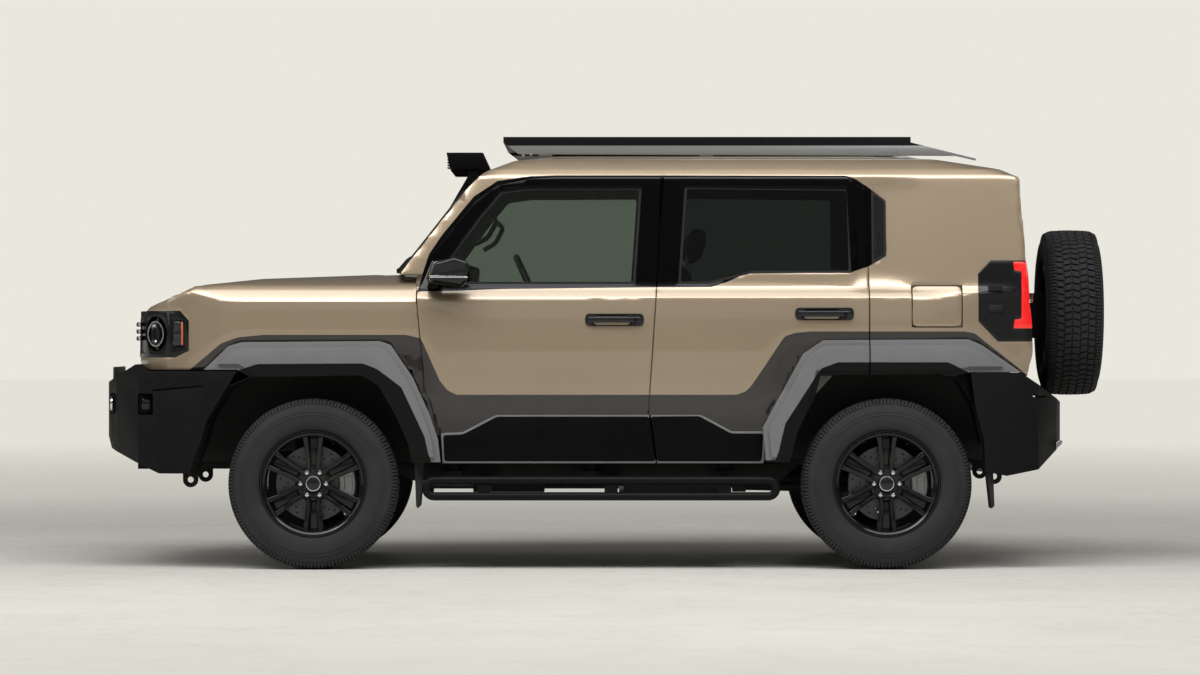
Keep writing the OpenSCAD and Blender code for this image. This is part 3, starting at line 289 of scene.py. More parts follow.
def keep(piece, body, slot, *replaced, finish=None):  # the last step of every piece
    only(piece)
    if finish is not None:
        piece.data.materials.clear()
        piece.data.materials.append(finish)
    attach(piece, body)
    if replaced:
        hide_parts(*replaced)
    return piece


# Finishes

class Wire:  # a shader value that can stand in a sum
    def __init__(self, finish, socket):
        self.finish, self.socket = finish, socket

    def __rsub__(self, other):
        return self.finish.sum("SUBTRACT", other, self)

    def __abs__(self):
        return self.finish.sum("ABSOLUTE", self)


def operator(operation):
    return lambda wire, other: wire.finish.sum(operation, wire, other)


for sign, operation in (("add", "ADD"), ("radd", "ADD"), ("sub", "SUBTRACT"), ("mul", "MULTIPLY"), ("rmul", "MULTIPLY"),
                        ("truediv", "DIVIDE"), ("gt", "GREATER_THAN"), ("lt", "LESS_THAN")):
    setattr(Wire, "__%s__" % sign, operator(operation))


class Finish:  # one material, built around its Principled shader
    def __init__(self, name, **sockets):
        self.material = bpy.data.materials.new(name)
        self.material.use_nodes = True
        self.tree = self.material.node_tree
        self.shader = self.tree.nodes["Principled BSDF"]
        self.where = self.node("ShaderNodeTexCoord", output="Object")
        self.set(**sockets)

    def plug(self, socket, value):
        if isinstance(value, Wire):
            self.tree.links.new(value.socket, socket)
        elif isinstance(value, (tuple, list)) and len(value) == 3 and socket.type == "RGBA":
            socket.default_value = (*value, 1)
        else:
            socket.default_value = value

    def node(self, kind, settings=None, inputs=None, output=0):
        made = self.tree.nodes.new(kind)
        for key, value in (settings or {}).items():
            if key == "stops":
                ramp = made.color_ramp
                while len(ramp.elements) < len(value):
                    ramp.elements.new(1)
                for element, (at, color) in zip(ramp.elements, value):
                    element.position = at
                    element.color = (*color, 1) if isinstance(color, tuple) else (color, color, color, 1)
            elif key == "interpolation":
                made.color_ramp.interpolation = value
            else:
                setattr(made, key, value)
        for key, value in (inputs or {}).items():
            self.plug(made.inputs[key], value)
        return Wire(self, made.outputs[output])

    def sum(self, operation, first, second=0.0):
        return self.node("ShaderNodeMath", {"operation": operation}, {0: first, 1: second})

    def set(self, **sockets):
        for key, value in sockets.items():
            self.plug(self.shader.inputs[key.replace("_", " ")], value)
        return self

    def axes(self):
        split = self.node("ShaderNodeSeparateXYZ", inputs={0: self.where}).socket.node
        return [Wire(self, split.outputs[i]) for i in range(3)]

    def noise(self, scale, detail=2.0, roughness=0.5, where=None):
        return self.node("ShaderNodeTexNoise", {}, {"Vector": where or self.where, "Scale": scale, "Detail": detail,
                                                    "Roughness": roughness})

    def stretched(self, x, y, z):
        return self.node("ShaderNodeMapping", {}, {"Vector": self.where, "Scale": (x, y, z)})

    def ramp(self, value, *stops, **settings):
        return self.node("ShaderNodeValToRGB", {"stops": stops, **settings}, {0: value})

    def mix(self, amount, first, second):
        made = self.node("ShaderNodeMix", {"data_type": "RGBA"}).socket.node
        self.plug(made.inputs[0], amount)
        self.plug(made.inputs[6], first)
        self.plug(made.inputs[7], second)
        return Wire(self, made.outputs[2])

    def bump(self, height, strength, distance):
        self.set(Normal=self.node("ShaderNodeBump", {}, {"Height": height, "Strength": strength, "Distance": distance}))
        return self

    def line(self, along, points):  # height of a line of straight pieces through (along, height) points
        lowX, highX = points[0][0], points[-1][0]
        lowZ, highZ = min(p[1] for p in points), max(p[1] for p in points)
        stops = [((p[0] - lowX) / (highX - lowX), (p[1] - lowZ) / (highZ - lowZ)) for p in points]
        reached = self.ramp((along - lowX) / (highX - lowX), *stops)
        return reached * (highZ - lowZ) + lowZ


def paintColor(red, green, blue):  # display colour, 0 to 255, as a linear one
    return tuple(((c / 255 + 0.055) / 1.055) ** 2.4 if c > 10 else c / 255 / 12.92 for c in (red, green, blue))


midX = (frontAxle + rearAxle) / 2
bodyLines = {  # millimetres from the middle of the wheelbase and above the ground
    "glassTop": [(-824, 1250), (-770, 1420), (-708, 1510), (-569, 1680), (-463, 1750), (-314, 1772), (-193, 1776),
                 (287, 1776), (1106, 1774), (1156, 1758), (1212, 1722), (1272, 1671), (1288, 1644), (1292, 1436)],
    "glassLow": [(-824, 1250), (-623, 1254), (-443, 1261), (184, 1268), (502, 1270), (569, 1292), (658, 1330),
                 (1127, 1335), (1208, 1362), (1272, 1402), (1292, 1436)],
    "paintedShadeBandTop": [(-1921, 829), (-1859, 887), (-1702, 1017), (-1626, 1044), (-1509, 1055), (-873, 1055), (-804, 1039),
                (-721, 851), (-685, 806), (-645, 786), (614, 786), (658, 802), (685, 833), (829, 1048), (878, 1064),
                (945, 1070), (1639, 1070), (1684, 1062), (1895, 896), (1975, 829)],
    "lipLine": [(-1900, 800), (-1800, 875), (-1621, 896), (-1538, 924), (-1063, 927), (-999, 901), (-891, 820),
                (-779, 582),
                (-766, 484), (0, 480), (793, 493), (829, 654), (990, 903), (1066, 932), (1563, 932), (1662, 882),
                (1900, 800)],
}


def fromMid(points):  # millimetres from the middle of the wheelbase and above the ground, as metres
    return [(midX + x / 1000, z / 1000) for x, z in points]


def bodyLine(name):
    return fromMid(bodyLines[name])


def scaled(color, gain, lift=0.0):
    return tuple(min(1, c * gain + lift) for c in color)


def bodyPaint():
    finish = Finish("bronzePaint", Metallic=0.62, Roughness=0.36, Coat_Weight=1.0, Coat_Roughness=0.035, Coat_IOR=1.5)
    x, y, z = finish.axes()
    flakes = finish.noise(2600, 1.0)
    cloud = finish.noise(1.3, 2.0)
    bronze = finish.mix(finish.ramp(flakes, (0.35, 0.0), (0.7, 1.0)), paintColor(134, 118, 97),
                        paintColor(166, 149, 126))
    bronze = finish.mix(finish.ramp(cloud, (0.35, 0.0), (0.65, 0.35)), bronze, paintColor(158, 142, 120))
    # painted shade: on the sides, below the band's top line, the bronze turns dark brown. It stands in for the shade on
    # the band's downward-leaning faces round the flares and along the lower doors
    band = (z < finish.line(x, bodyLine("paintedShadeBandTop"))) * (abs(y) > sideY - 0.12)
    bronze = finish.mix(band, bronze, paintColor(35, 30, 29))
    inGlass = (z > finish.line(x, bodyLine("glassLow"))) * (z < finish.line(x, bodyLine("glassTop")))
    inGlass = inGlass * (x < midX + 1.292) * (x > midX - 0.82) * (abs(y) > sideY - 0.26)
    finish.set(Base_Color=finish.mix(inGlass, bronze, (0.011, 0.011, 0.012)), Metallic=0.62 + inGlass * 0.38,
               Roughness=0.36 - inGlass * 0.14, Coat_Weight=1 - inGlass * 0.92)
    return finish.bump(flakes, 0.03, 0.0004).material


def flareFinish():  # grey above the lip line, black below it
    finish = Finish("flareFinish", Specular_IOR_Level=0.16)
    x, z = finish.axes()[::2]
    fine = finish.noise(1100, 2.0, 0.6)
    wear = finish.ramp(finish.noise(9.0, 4.0, 0.6), (0.45, 0.0), (0.8, 1.0))
    lip = z < finish.line(x, bodyLine("lipLine"))
    tone = finish.mix(wear * 0.25, paintColor(104, 104, 106), paintColor(118, 118, 120))
    return finish.set(Base_Color=finish.mix(lip, tone, paintColor(6, 6, 7)),
                      Roughness=0.42 + fine * 0.1 - lip * 0.06).bump(fine, 0.15, 0.0006).material


def plainPaint(name, low, high):
    finish = Finish(name, Metallic=0.6, Roughness=0.36, Coat_Weight=1.0, Coat_Roughness=0.04)
    flakes = finish.noise(2600, 1.0)
    return finish.set(Base_Color=finish.mix(flakes, low, high)).bump(flakes, 0.03, 0.0004).material


def moulded(name, color, roughness, grain, strength, dust=0.25, sheen=0.12):  # grained plastic
    finish = Finish(name, Specular_IOR_Level=sheen)
    fine = finish.noise(grain, 2.0, 0.6)
    wear = finish.ramp(finish.noise(9.0, 4.0, 0.6), (0.45, 0.0), (0.8, 1.0))
    return finish.set(Base_Color=finish.mix(wear * dust, color, scaled(color, 1.5, 0.005)),
                      Roughness=roughness + fine * 0.12 - 0.06 + wear * 0.06).bump(fine, strength, 0.0006).material


def gloss(name, color, roughness=0.12, coat=0.3):
    finish = Finish(name, Metallic=0.0, Coat_Weight=coat, Coat_Roughness=0.03, Specular_IOR_Level=0.25)
    haze = finish.noise(14.0, 3.0, 0.55)
    return finish.set(Base_Color=finish.mix(haze, color, scaled(color, 1.25, 0.002)),
                      Roughness=roughness + haze * 0.06).material


def metalFinish(name, color, roughness, brushed, scale, strength=0.1):
    finish = Finish(name, Metallic=1.0)
    grain = finish.noise(scale, 4.0, 0.6, finish.stretched(*brushed))
    tone = finish.mix(grain, scaled(color, 0.82), color)
    return finish.set(Base_Color=tone, Roughness=roughness + grain * 0.15).bump(grain, strength, 0.0005).material


def rubber(name, color, roughness):
    finish = Finish(name, Specular_IOR_Level=0.22)
    fine = finish.noise(160.0, 5.0, 0.65)
    dust = finish.ramp(finish.noise(6.0, 3.0, 0.6), (0.4, 0.0), (0.85, 0.5))
    tone = finish.mix(dust, color, scaled(color, 1.7, 0.006))
    return finish.set(Base_Color=tone, Roughness=roughness + fine * 0.1).bump(fine, 0.2, 0.0006).material


def clear(name, color):
    finish = Finish(name, Transmission_Weight=1.0, IOR=1.45, Roughness=0.0)
    haze = finish.noise(5.0, 2.0)
    return finish.set(Base_Color=finish.mix(haze, color, scaled(color, 0.94))).material


def leather(name, color):
    finish = Finish(name)
    cells = finish.node("ShaderNodeTexVoronoi", {"feature": "F1"}, {"Vector": finish.where, "Scale": 420.0})
    fine = finish.noise(900.0, 3.0, 0.6)
    wear = finish.ramp(finish.noise(7.0, 3.0), (0.4, 0.0), (0.75, 1.0))
    tone = finish.mix(wear * 0.5, color, scaled(color, 1.5, 0.006))
    return finish.set(Base_Color=tone, Roughness=0.46 + wear * 0.1).bump(cells * 0.7 + fine * 0.3, 0.3, 0.0008).material


def lensFinish(name, deep, bright, **sockets):  # ribbed coloured plastic over a lamp
    finish = Finish(name, Coat_Weight=1.0, **sockets)
    ribs = finish.sum("SINE", finish.axes()[2] * 1400)
    haze = finish.noise(40.0, 3.0, 0.6)
    finish.set(Base_Color=finish.mix(haze, deep, bright), Roughness=0.13 + haze * 0.08)
    return finish.bump(ribs, 0.2, 0.0004).material


print("finishes")
paint = bodyPaint()
flareGrey = flareFinish()
flarePlastic = moulded("flarePlastic", paintColor(104, 104, 106), 0.42, 1100, 0.15)
bumperPlastic = moulded("bumperPlastic", paintColor(17, 17, 18), 0.48, 900, 0.25, 0.1, 0.08)
claddingPlastic = moulded("claddingPlastic", paintColor(7, 7, 8), 0.36, 900, 0.12, 0.04, 0.06)
cabinPlastic = moulded("cabinPlastic", paintColor(34, 35, 35), 0.6, 700, 0.08)
headliner = moulded("headliner", paintColor(92, 92, 88), 0.9, 1500, 0.5)
pianoBlack = gloss("pianoBlack", (0.006, 0.006, 0.007))
lampBlack = gloss("lampBlack", (0.004, 0.004, 0.0045), 0.2, 0.08)
wheelBlack = gloss("wheelBlack", (0.002, 0.002, 0.0024), 0.16, 0.2)
tyreRubber = rubber("tyreRubber", (0.018, 0.018, 0.019), 0.72)
sealRubber = rubber("sealRubber", (0.008, 0.008, 0.008), 0.55)
satinBlack = moulded("satinBlack", (0.006, 0.006, 0.0065), 0.34, 500, 0.12, 0.08, 0.08)
rackGrey = metalFinish("rackGrey", paintColor(150, 152, 152), 0.36, (1, 1, 6), 90)
polished = metalFinish("polished", paintColor(214, 214, 216), 0.1, (1, 1, 1), 20, 0.02)
castMetal = metalFinish("castMetal", paintColor(150, 150, 150), 0.42, (1, 1, 1), 300, 0.4)
discSteel = metalFinish("discSteel", paintColor(84, 84, 86), 0.32, (1, 1, 1), 120, 0.15)
chassisBlack = moulded("chassisBlack", paintColor(28, 28, 28), 0.62, 260, 0.5, 0.7)
tintedGlass = clear("tintedGlass", paintColor(150, 160, 152))
privacyGlass = clear("privacyGlass", paintColor(92, 98, 96))
screenGlass = clear("screenGlass", paintColor(205, 214, 208))
lampGlass = clear("lampGlass", paintColor(238, 240, 242))
# painted glow: the red lenses, on the tail lamps, brake lamp and bumper reflectors, give off a faint red light of their
# own
redLens = lensFinish("redLens", paintColor(188, 12, 11), paintColor(218, 20, 17),
                     Emission_Color=paintColor(220, 20, 16), Emission_Strength=0.35)
amberLens = lensFinish("amberLens", paintColor(198, 80, 15), paintColor(226, 102, 25))
seatLeather = leather("seatLeather", paintColor(38, 39, 38))


# The smooth form that the painted panels follow

shoulderHeight = beltHeight - 0.043
frameTop = roofHeight - 0.097
creaseHeight = sillHeight + 0.310
bandHeight = sillHeight + 0.220
archTop = hubHeight + 0.545
noseX = f(-806)
bodyForm = {
    "voxel": 0.015,        # fineness of the form
    "rounding": 3,         # how far the body's edges are rounded
    "crown": 0.006,        # swell of the door panels
    "bandDepth": 0.008,    # how far the band round the flares leans in; its dark brown is painted shade
    "bandWidth": 0.055,
    "roofCrown": 0.010,
    "bonnetCrown": 0.012,
    "bonnetDip": 0.009,    # flat tray between the bonnet's two ridges
    "quarterDip": 0.012,   # the rear quarter leans in towards its window
    "panelGrid": 0.024,
}


def wholeOutline(half):
    return half + [(-across, up) for across, up in reversed(half)]


def crossed(name, side, section, plan):
    body = slab(name, side, "xz", -sideY - 0.01, sideY + 0.01)
    cut(body, slab("toolSection", wholeOutline(section), "yz", f(-820), r(730)), "INTERSECT")
    cut(body, slab("toolPlan", plan, "xy", -0.05, roofHeight + 0.1), "INTERSECT")
    return body


def planOutline(points):
    return points + [(x, -y) for x, y in reversed(points)]


def cabinForm():
    low = sillHeight
    side = [(f(381), beltHeight + 0.062), (f(683), roofHeight - 0.153), (f(767), roofHeight - 0.073),
            (f(903), roofHeight - 0.023), (f(1100), roofHeight), (r(-100), roofHeight), (r(228), roofHeight - 0.018),
            (r(517), roofHeight - 0.060), (r(607), roofHeight - 0.098), (r(645), beltHeight), (r(667), low + 0.505),
            (r(640), low + 0.4), (r(600), low + 0.06), (r(470), low + 0.06), (r(470), low), (f(440), low),
            (f(440), low + 0.16), (f(400), beltHeight - 0.06)]
    top = sideY - 0.125
    section = [(sideY - 0.2905, roofHeight), (top - 0.062, roofHeight - 0.02), (top - 0.023, roofHeight - 0.065),
               (top, frameTop), (sideY - 0.038, beltHeight), (sideY, shoulderHeight), (sideY, creaseHeight),
               (sideY - 0.034, bandHeight), (sideY - 0.04, low)]
    plan = planOutline([(f(300), sideY + 0.001), (r(168), sideY + 0.001), (r(700), sideY - 0.044)])
    return crossed("cabinForm", side, section, plan)


def noseForm():
    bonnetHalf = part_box("bonnet")[1].y + 0.003
    side = [(noseX, archTop - 0.022), (noseX, beltHeight - 0.132), (f(-748), beltHeight - 0.081),
            (f(-534), beltHeight + 0.012), (f(-260), beltHeight + 0.04), (f(366), beltHeight + 0.062),
            (f(600), beltHeight + 0.062), (f(600), sillHeight), (f(-300), sillHeight)]
    section = [(bonnetHalf + 0.03, beltHeight + 0.062), (sideY - 0.055, beltHeight + 0.02), (sideY, beltHeight - 0.062),
               (sideY, sillHeight)]
    plan = planOutline([(f(600), sideY), (f(-320), sideY), (f(-416), sideY - 0.005), (f(-564), sideY - 0.032),
                        (f(-660), sideY - 0.075), (f(-748), sideY - 0.16), (noseX, sideY - 0.29)])
    return crossed("noseForm", side, section, plan)


def stepUp(value, low, high):  # 0 below low, 1 above high, smooth between
    t = np.clip((value - low) / (high - low), 0, 1)
    return t * t * (3 - 2 * t)


def searchTree(piece):
    return BVHTree.FromPolygons([p.co.copy() for p in piece.data.vertices],
                                [tuple(p.vertices) for p in piece.data.polygons])


def shapeForm(form):  # rounds the faceted form, then swells and creases it
    sharp = searchTree(form)
    modify(form, "REMESH", mode="VOXEL", voxel_size=bodyForm["voxel"])
    modify(form, "SMOOTH", factor=0.5, iterations=bodyForm["rounding"])
    count = len(form.data.vertices)
    spots, normals = np.empty(count * 3), np.empty(count * 3)
    form.data.vertices.foreach_get("co", spots)
    form.data.vertices.foreach_get("normal", normals)
    spots, normals = spots.reshape(-1, 3), normals.reshape(-1, 3)
    x, y, z = spots.T.copy()
    facing = stepUp(np.abs(normals[:, 1]), 0.6, 0.9) * np.sign(y)
    up = stepUp(normals[:, 2], 0.75, 0.95)
    swell = np.clip(1 - ((z - 1.0) / 0.24) ** 2, 0, 1) * stepUp(x, f(430), f(700)) * (1 - stepUp(x, r(150), r(420)))
    bandX, bandZ = zip(*bodyLine("paintedShadeBandTop"))
    below = np.interp(x, bandX, bandZ) - z
    lean = np.clip(below / bodyForm["bandWidth"], 0, 1) * stepUp(x, f(-700), f(-560)) * (1 - stepUp(x, r(560), r(640)))
    lean = lean * np.where((x > f(600)) & (x < r(-640)), 0, 1)
    spots[:, 1] += facing * (swell * bodyForm["crown"] - lean * bodyForm["bandDepth"])
    quarter = np.clip((midX + 1.456 - x) / 0.164, 0, 1) * (x > midX + 1.15)
    quarter = quarter * stepUp(z, 1.25, 1.33) * (1 - stepUp(z, 1.72, 1.77))
    spots[:, 1] -= facing * quarter * bodyForm["quarterDip"]
    cabin = stepUp(x, f(900), f(1150)) * (1 - stepUp(x, r(200), r(520)))
    spots[:, 2] += up * cabin * bodyForm["roofCrown"] * np.clip(1 - (y / 0.7) ** 2, 0, 1) * (z > beltHeight + 0.3)
    hood = (1 - stepUp(x, f(250), f(360))) * stepUp(x, f(-740), f(-560)) * (z < beltHeight + 0.2)
    tray = 1 - stepUp(np.abs(y), 0.27, 0.33)
    arch = np.clip(1 - (y / 0.62) ** 2, 0, 1)
    spots[:, 2] += up * hood * (bodyForm["bonnetCrown"] * arch - tray * bodyForm["bonnetDip"])
    form.data.vertices.foreach_set("co", spots.ravel())
    form.data.update()
    smooth = searchTree(form)
    bpy.data.objects.remove(form)
    return sharp, smooth


print("body form")
forms = {"cabin": shapeForm(cabinForm()), "nose": shapeForm(noseForm())}


gridStart = 0.0037  # keeps the grid's lines off the CAD's own edges
gridMargin = 0.002


def followForm(piece, which, reach=0.016):  # moves a piece's outer points from the faceted form to the smooth one
    sharp, smooth = forms[which]
    for point in piece.data.vertices:
        place, normal, index, gap = sharp.find_nearest(point.co, reach * 2)
        if place is not None:
            target = smooth.find_nearest(place)[0]
            point.co += (target - place) * (1 if gap < reach else 2 - gap / reach)
    piece.data.update()
    return piece


def sliced(piece, planes, snap=0.0):  # adds edges where planes, each a point and a direction, cross a piece
    mesh = bmesh.new()
    mesh.from_mesh(piece.data)
    for at, normal in planes:
        bmesh.ops.bisect_plane(mesh, geom=mesh.verts[:] + mesh.edges[:] + mesh.faces[:], plane_co=at, plane_no=normal,
                               dist=snap)
    mesh.to_mesh(piece.data)
    mesh.free()
    return piece


def gridCuts(piece, step, axes="xz"):  # gives a large panel enough points to bend
    planes = []
    for i in ("xyz".index(axis) for axis in axes):
        normal = Vector([1.0 if k == i else 0.0 for k in range(3)])
        low, high = (end(point.co[i] for point in piece.data.vertices) for end in (min, max))
        places = (n * step + gridStart for n in range(int(low / step) - 1, int(high / step) + 2))
        planes += [(normal * at, normal) for at in places if low + gridMargin < at < high - gridMargin]
    return sliced(piece, planes, 0.00005)


def paneled(node, which, axes="xz", tools=()):  # a CAD panel with rounded edges on the smooth form
    piece = cadCopy(node, camel(node))
    for tool in tools:
        cut(piece, tool)
    bevelled(piece, 0.0028, 2, 38)
    gridCuts(piece, bodyForm["panelGrid"], axes)
    followForm(piece, which)
    return shine(piece, 36)


# Painted panels

def inset(outline, distance):  # moves every side of an outline inwards
    sides = list(zip(outline, outline[1:] + outline[:1]))
    turn = 1 if sum(a[0] * b[1] - b[0] * a[1] for a, b in sides) > 0 else -1
    moved = []
    for a, b in sides:
        length = sqrt((b[0] - a[0]) ** 2 + (b[1] - a[1]) ** 2)
        nx, ny = -(b[1] - a[1]) / length * turn, (b[0] - a[0]) / length * turn
        moved.append((nx, ny, nx * a[0] + ny * a[1] + distance))
    corners = []
    for (a1, b1, c1), (a2, b2, c2) in zip(moved[-1:] + moved[:-1], moved):
        share = a1 * b2 - a2 * b1
        if abs(share) > 0.02:
            corners.append(((c1 * b2 - c2 * b1) / share, (a1 * c2 - a2 * c1) / share))
    return corners


def oblong(left, low, right, high):
    return [(left, low), (right, low), (right, high), (left, high)]


def rounded(outline, radius, steps=4):  # rounds the corners of an outline
    points = []
    for before, at, after in zip(outline[-1:] + outline[:-1], outline, outline[1:] + outline[:1]):
        here, back, on = Vector(at), Vector(before) - Vector(at), Vector(after) - Vector(at)
        reach = min(radius, back.length * 0.45, on.length * 0.45)
        start, end = here + back.normalized() * reach, here + on.normalized() * reach
        for k in range(steps + 1):
            t = k / steps
            points.append(tuple(start * (1 - t) ** 2 + here * 2 * t * (1 - t) + end * t * t))
    return points


def inside(at, outline):
    x, z = at.x, at.z
    hit = False
    for (ax, az), (bx, bz) in zip(outline, outline[1:] + outline[:1]):
        if (az > z) != (bz > z) and x < ax + (z - az) / (bz - az) * (bx - ax):
            hit = not hit
    return hit


print("body panels")
seamX = f(466 + 1079)  # front edge of the rear door at the belt
frameHeight = roofHeight - 0.097
frontWindow = [(f(560), beltHeight + 0.018), (f(600), beltHeight + 0.122), (f(754), frameHeight - 0.172),
               (f(842), frameHeight - 0.068), (f(960), frameHeight - 0.052), (seamX - 0.066, frameHeight - 0.050),
               (seamX - 0.095, beltHeight + 0.018)]
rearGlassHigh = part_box("rear_left_glass")[1]
rearWindow = [(seamX + 0.096, beltHeight + 0.018), (seamX + 0.127, frameHeight - 0.046),
              (rearGlassHigh.x - 0.008, frameHeight - 0.054), (rearGlassHigh.x, beltHeight + 0.068),
              (r(-600), beltHeight + 0.068), (r(-700), beltHeight + 0.044), (r(-800), beltHeight + 0.018)]
quarterWindow = [(r(-64), frameHeight - 0.062), (r(-2), frameHeight - 0.113), (r(-2), beltHeight + 0.148),
                 (r(-64), beltHeight + 0.110)]
doorFlare = inset([(r(-543), sillHeight), (r(-558), hubHeight + 0.253), (r(-377), archTop + 0.041),
                   (r(-286), archTop + 0.101), (r(365), archTop + 0.105), (r(425), archTop + 0.078),
                   (r(600), archTop - 0.043), (r(373), archTop - 0.043), (r(300), archTop - 0.060),
                   (r(-300), archTop - 0.060), (r(-400), hubHeight + 0.1), (r(-430), sillHeight)], -0.004)
archRegion = [(r(-543), 0), (r(-540), hubHeight + 0.25), (r(-370), archTop + 0.03), (r(-280), archTop + 0.08),
              (r(365), archTop + 0.08), (r(425), archTop + 0.05), (r(650), archTop - 0.10), (r(650), 0)]

for side, sign in (("left", -1), ("right", 1)):
    doorLining = lambda at, normal: normal.y * sign < -0.3 or abs(at.y) < sideY - 0.09 and at.z < beltHeight - 0.03
    mirrorTool = block("toolMirror", (f(490), sign * 0.955 - 0.102, beltHeight + 0.001),
                       (f(720), sign * 0.955 + 0.102, beltHeight + 0.145))
    for door, tools in (("front_%s_door" % side, [mirrorTool]), ("rear_%s_door" % side, [])):
        piece = lined(lined(paneled(door, "cabin", tools=tools), paint), cabinPlastic, doorLining)
        if not tools:
            lined(piece, flareGrey, lambda at, normal: abs(at.y) > sideY - 0.058 and inside(at, doorFlare)
                  and (abs(at.y) > sideY + 0.004 or normal.y * sign < 0.5))
        keep(piece, door, "bronze_paint", door)

piece = paneled("body_sides", "cabin")
lined(lined(piece, paint), cabinPlastic,
      lambda at, normal: abs(at.y) < sideY - 0.036 and abs(normal.y) > 0.6 and normal.y * at.y < 0 or abs(at.y) < 0.66)
lined(piece, claddingPlastic, lambda at, normal: inside(at, archRegion) or (at.z < 0.60 and at.x < r(-300)))
keep(piece, "chassis", "bronze_paint", "body_sides")
piece = paneled("roof_panel", "cabin", "xy")
lined(lined(piece, paint), headliner, lambda at, normal: normal.z < -0.4 and abs(at.y) < 0.66)
keep(piece, "chassis", "bronze_paint", "roof_panel")
piece = paneled("front_fenders", "nose")
keep(piece, "chassis", "bronze_paint", "front_fenders", finish=paint)
piece = paneled("bonnet", "nose", "xy")
lined(lined(piece, paint), satinBlack, lambda at, normal: normal.z < -0.5)
keep(piece, "bonnet", "bronze_paint", "bonnet")
piece = paneled("tailgate", "cabin", "yz")
lined(lined(piece, paint), cabinPlastic, lambda at, normal: normal.x < -0.3 or at.x < r(560))
lined(piece, satinBlack, lambda at, normal: at.x > r(668) and abs(at.y) < 0.135 and at.z < beltHeight + 0.02)
keep(piece, "tailgate", "bronze_paint", "tailgate")
lidLow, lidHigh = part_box("fuel_lid")
lidTool = slab("toolLid", rounded(oblong(lidLow.x, lidLow.z, lidHigh.x, lidHigh.z), 0.030, 6), "xz", -1.0, -0.8)
piece = cut(cadCopy("fuel_lid", "fuelLid"), lidTool, "INTERSECT")
bevelled(piece, 0.0025, 2, 38)
keep(shine(followForm(gridCuts(piece, 0.024), "cabin")), "fuel_lid", "bronze_paint", "fuel_lid",
     finish=plainPaint("lidPaint", paintColor(138, 122, 101), paintColor(166, 149, 126)))


# Glass and its rubber

def sealRing(node, name, outline, plane, body, width=0.011, proud=0.0028):
    ring = cadCopy(node, name)
    modify(ring, "DISPLACE", strength=proud, mid_level=0)
    reach = (-1.2, 1.2) if plane == "xz" else (f(200), r(800))
    if node == "fixed_glass":
        cut(ring, block("toolHalf", (r(-300), -1, 0), (r(300), 1, 2)), "INTERSECT")
    cut(ring, slab("toolSeal", rounded(inset(outline, width), 0.012), plane, *reach))
    return keep(shine(ring), body, "black_rubber", finish=sealRubber)


print("glass")
for node in ("front_left_glass", "front_right_glass", "rear_left_glass", "rear_right_glass", "tailgate_glass",
             "fixed_glass"):
    nodes[node].data.materials.clear()
    nodes[node].data.materials.append({"fr": tintedGlass, "fi": screenGlass}.get(node[:2], privacyGlass))
for side in ("left", "right"):
    sealRing("front_%s_glass" % side, camel("front_%s_seal" % side), frontWindow, "xz", "front_%s_door" % side)
    sealRing("rear_%s_glass" % side, camel("rear_%s_seal" % side), rearWindow, "xz", "rear_%s_door" % side)
sealRing("fixed_glass", "quarterSeals", quarterWindow, "xz", "chassis", 0.008)
tailLow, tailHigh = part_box("tailgate_glass")
sealRing("tailgate_glass", "tailgateSeal",
         [(tailLow.y, tailLow.z), (tailHigh.y, tailLow.z), (tailHigh.y - 0.03, tailHigh.z),
          (tailLow.y + 0.03, tailHigh.z)], "yz", "tailgate", 0.014)


# Door trim

print("door trim")
claddingFront = fromMid([(-706, 604), (-616, 608), (-463, 688), (222, 688), (250, 486), (-700, 486)])
claddingRear = fromMid([(228, 688), (446, 690), (590, 612), (735, 612), (728, 486), (256, 486)])
for side, sign in (("left", -1), ("right", 1)):
    for end, outline in (("front", claddingFront), ("rear", claddingRear)):
        body = "%s_%s_door" % (end, side)
        sheet = slab("cladding", rounded(outline, 0.014), "xz", sign * 0.842, sign * 0.8605)
        bevelled(sheet, 0.004, 2, 40)
        # painted highlight: a grey rim, 9 mm wide, round each black cladding sheet stands in for light caught along the
        # cladding's edge
        strip = slab("strip", inset(outline, -0.009), "xz", sign * 0.84, sign * 0.8575)
        lined(strip, flarePlastic)
        lined(sheet, claddingPlastic)
        bevelled(strip, 0.002, 2, 40)
        keep(shine(join(camel("%s_%s_cladding" % (end, side)), strip, sheet)), body, "dark_plastic")

handleAt = {"front": (midX + 0.065, 1.122), "rear": (midX + 1.008, 1.149)}
for end, (x, z) in handleAt.items():
    plate = slab("plate", rounded(oblong(x - 0.132, z - 0.029, x + 0.132, z + 0.029), 0.024, 5), "xz", -sideY + 0.004,
                 -sideY - 0.0105)
    scoop = slab("scoop", rounded(oblong(x - 0.095, z - 0.024, x + 0.070, z + 0.020), 0.018, 5), "xz", -sideY - 0.004,
                 -sideY - 0.03)
    lined(soften(cut(plate, scoop), 0.0025, 2), pianoBlack)
    bar = lump("bar", (x - 0.118, -sideY - 0.034, z - 0.012), (x + 0.118, -sideY - 0.020, z + 0.014), pianoBlack, 0.006,
               4)
    posts = [lump("post", (x + dx - 0.018, -sideY - 0.026, z - 0.011), (x + dx + 0.018, -sideY + 0.002, z + 0.013),
                  pianoBlack, 0.004, 3) for dx in (-0.096, 0.094)]
    lock = disc("lock", (x + 0.094, -sideY - 0.0345, z), 0.0085, 0.003, "y", 32)
    lined(lock, satinBlack)
    handle = join(camel("%s_left_handle" % end), plate, bar, *posts, lock)
    keep(shine(handle), "%s_left_door" % end, "dark_plastic")
    keep(mirrored(handle, camel("%s_right_handle" % end)), "%s_right_door" % end, "dark_plastic")

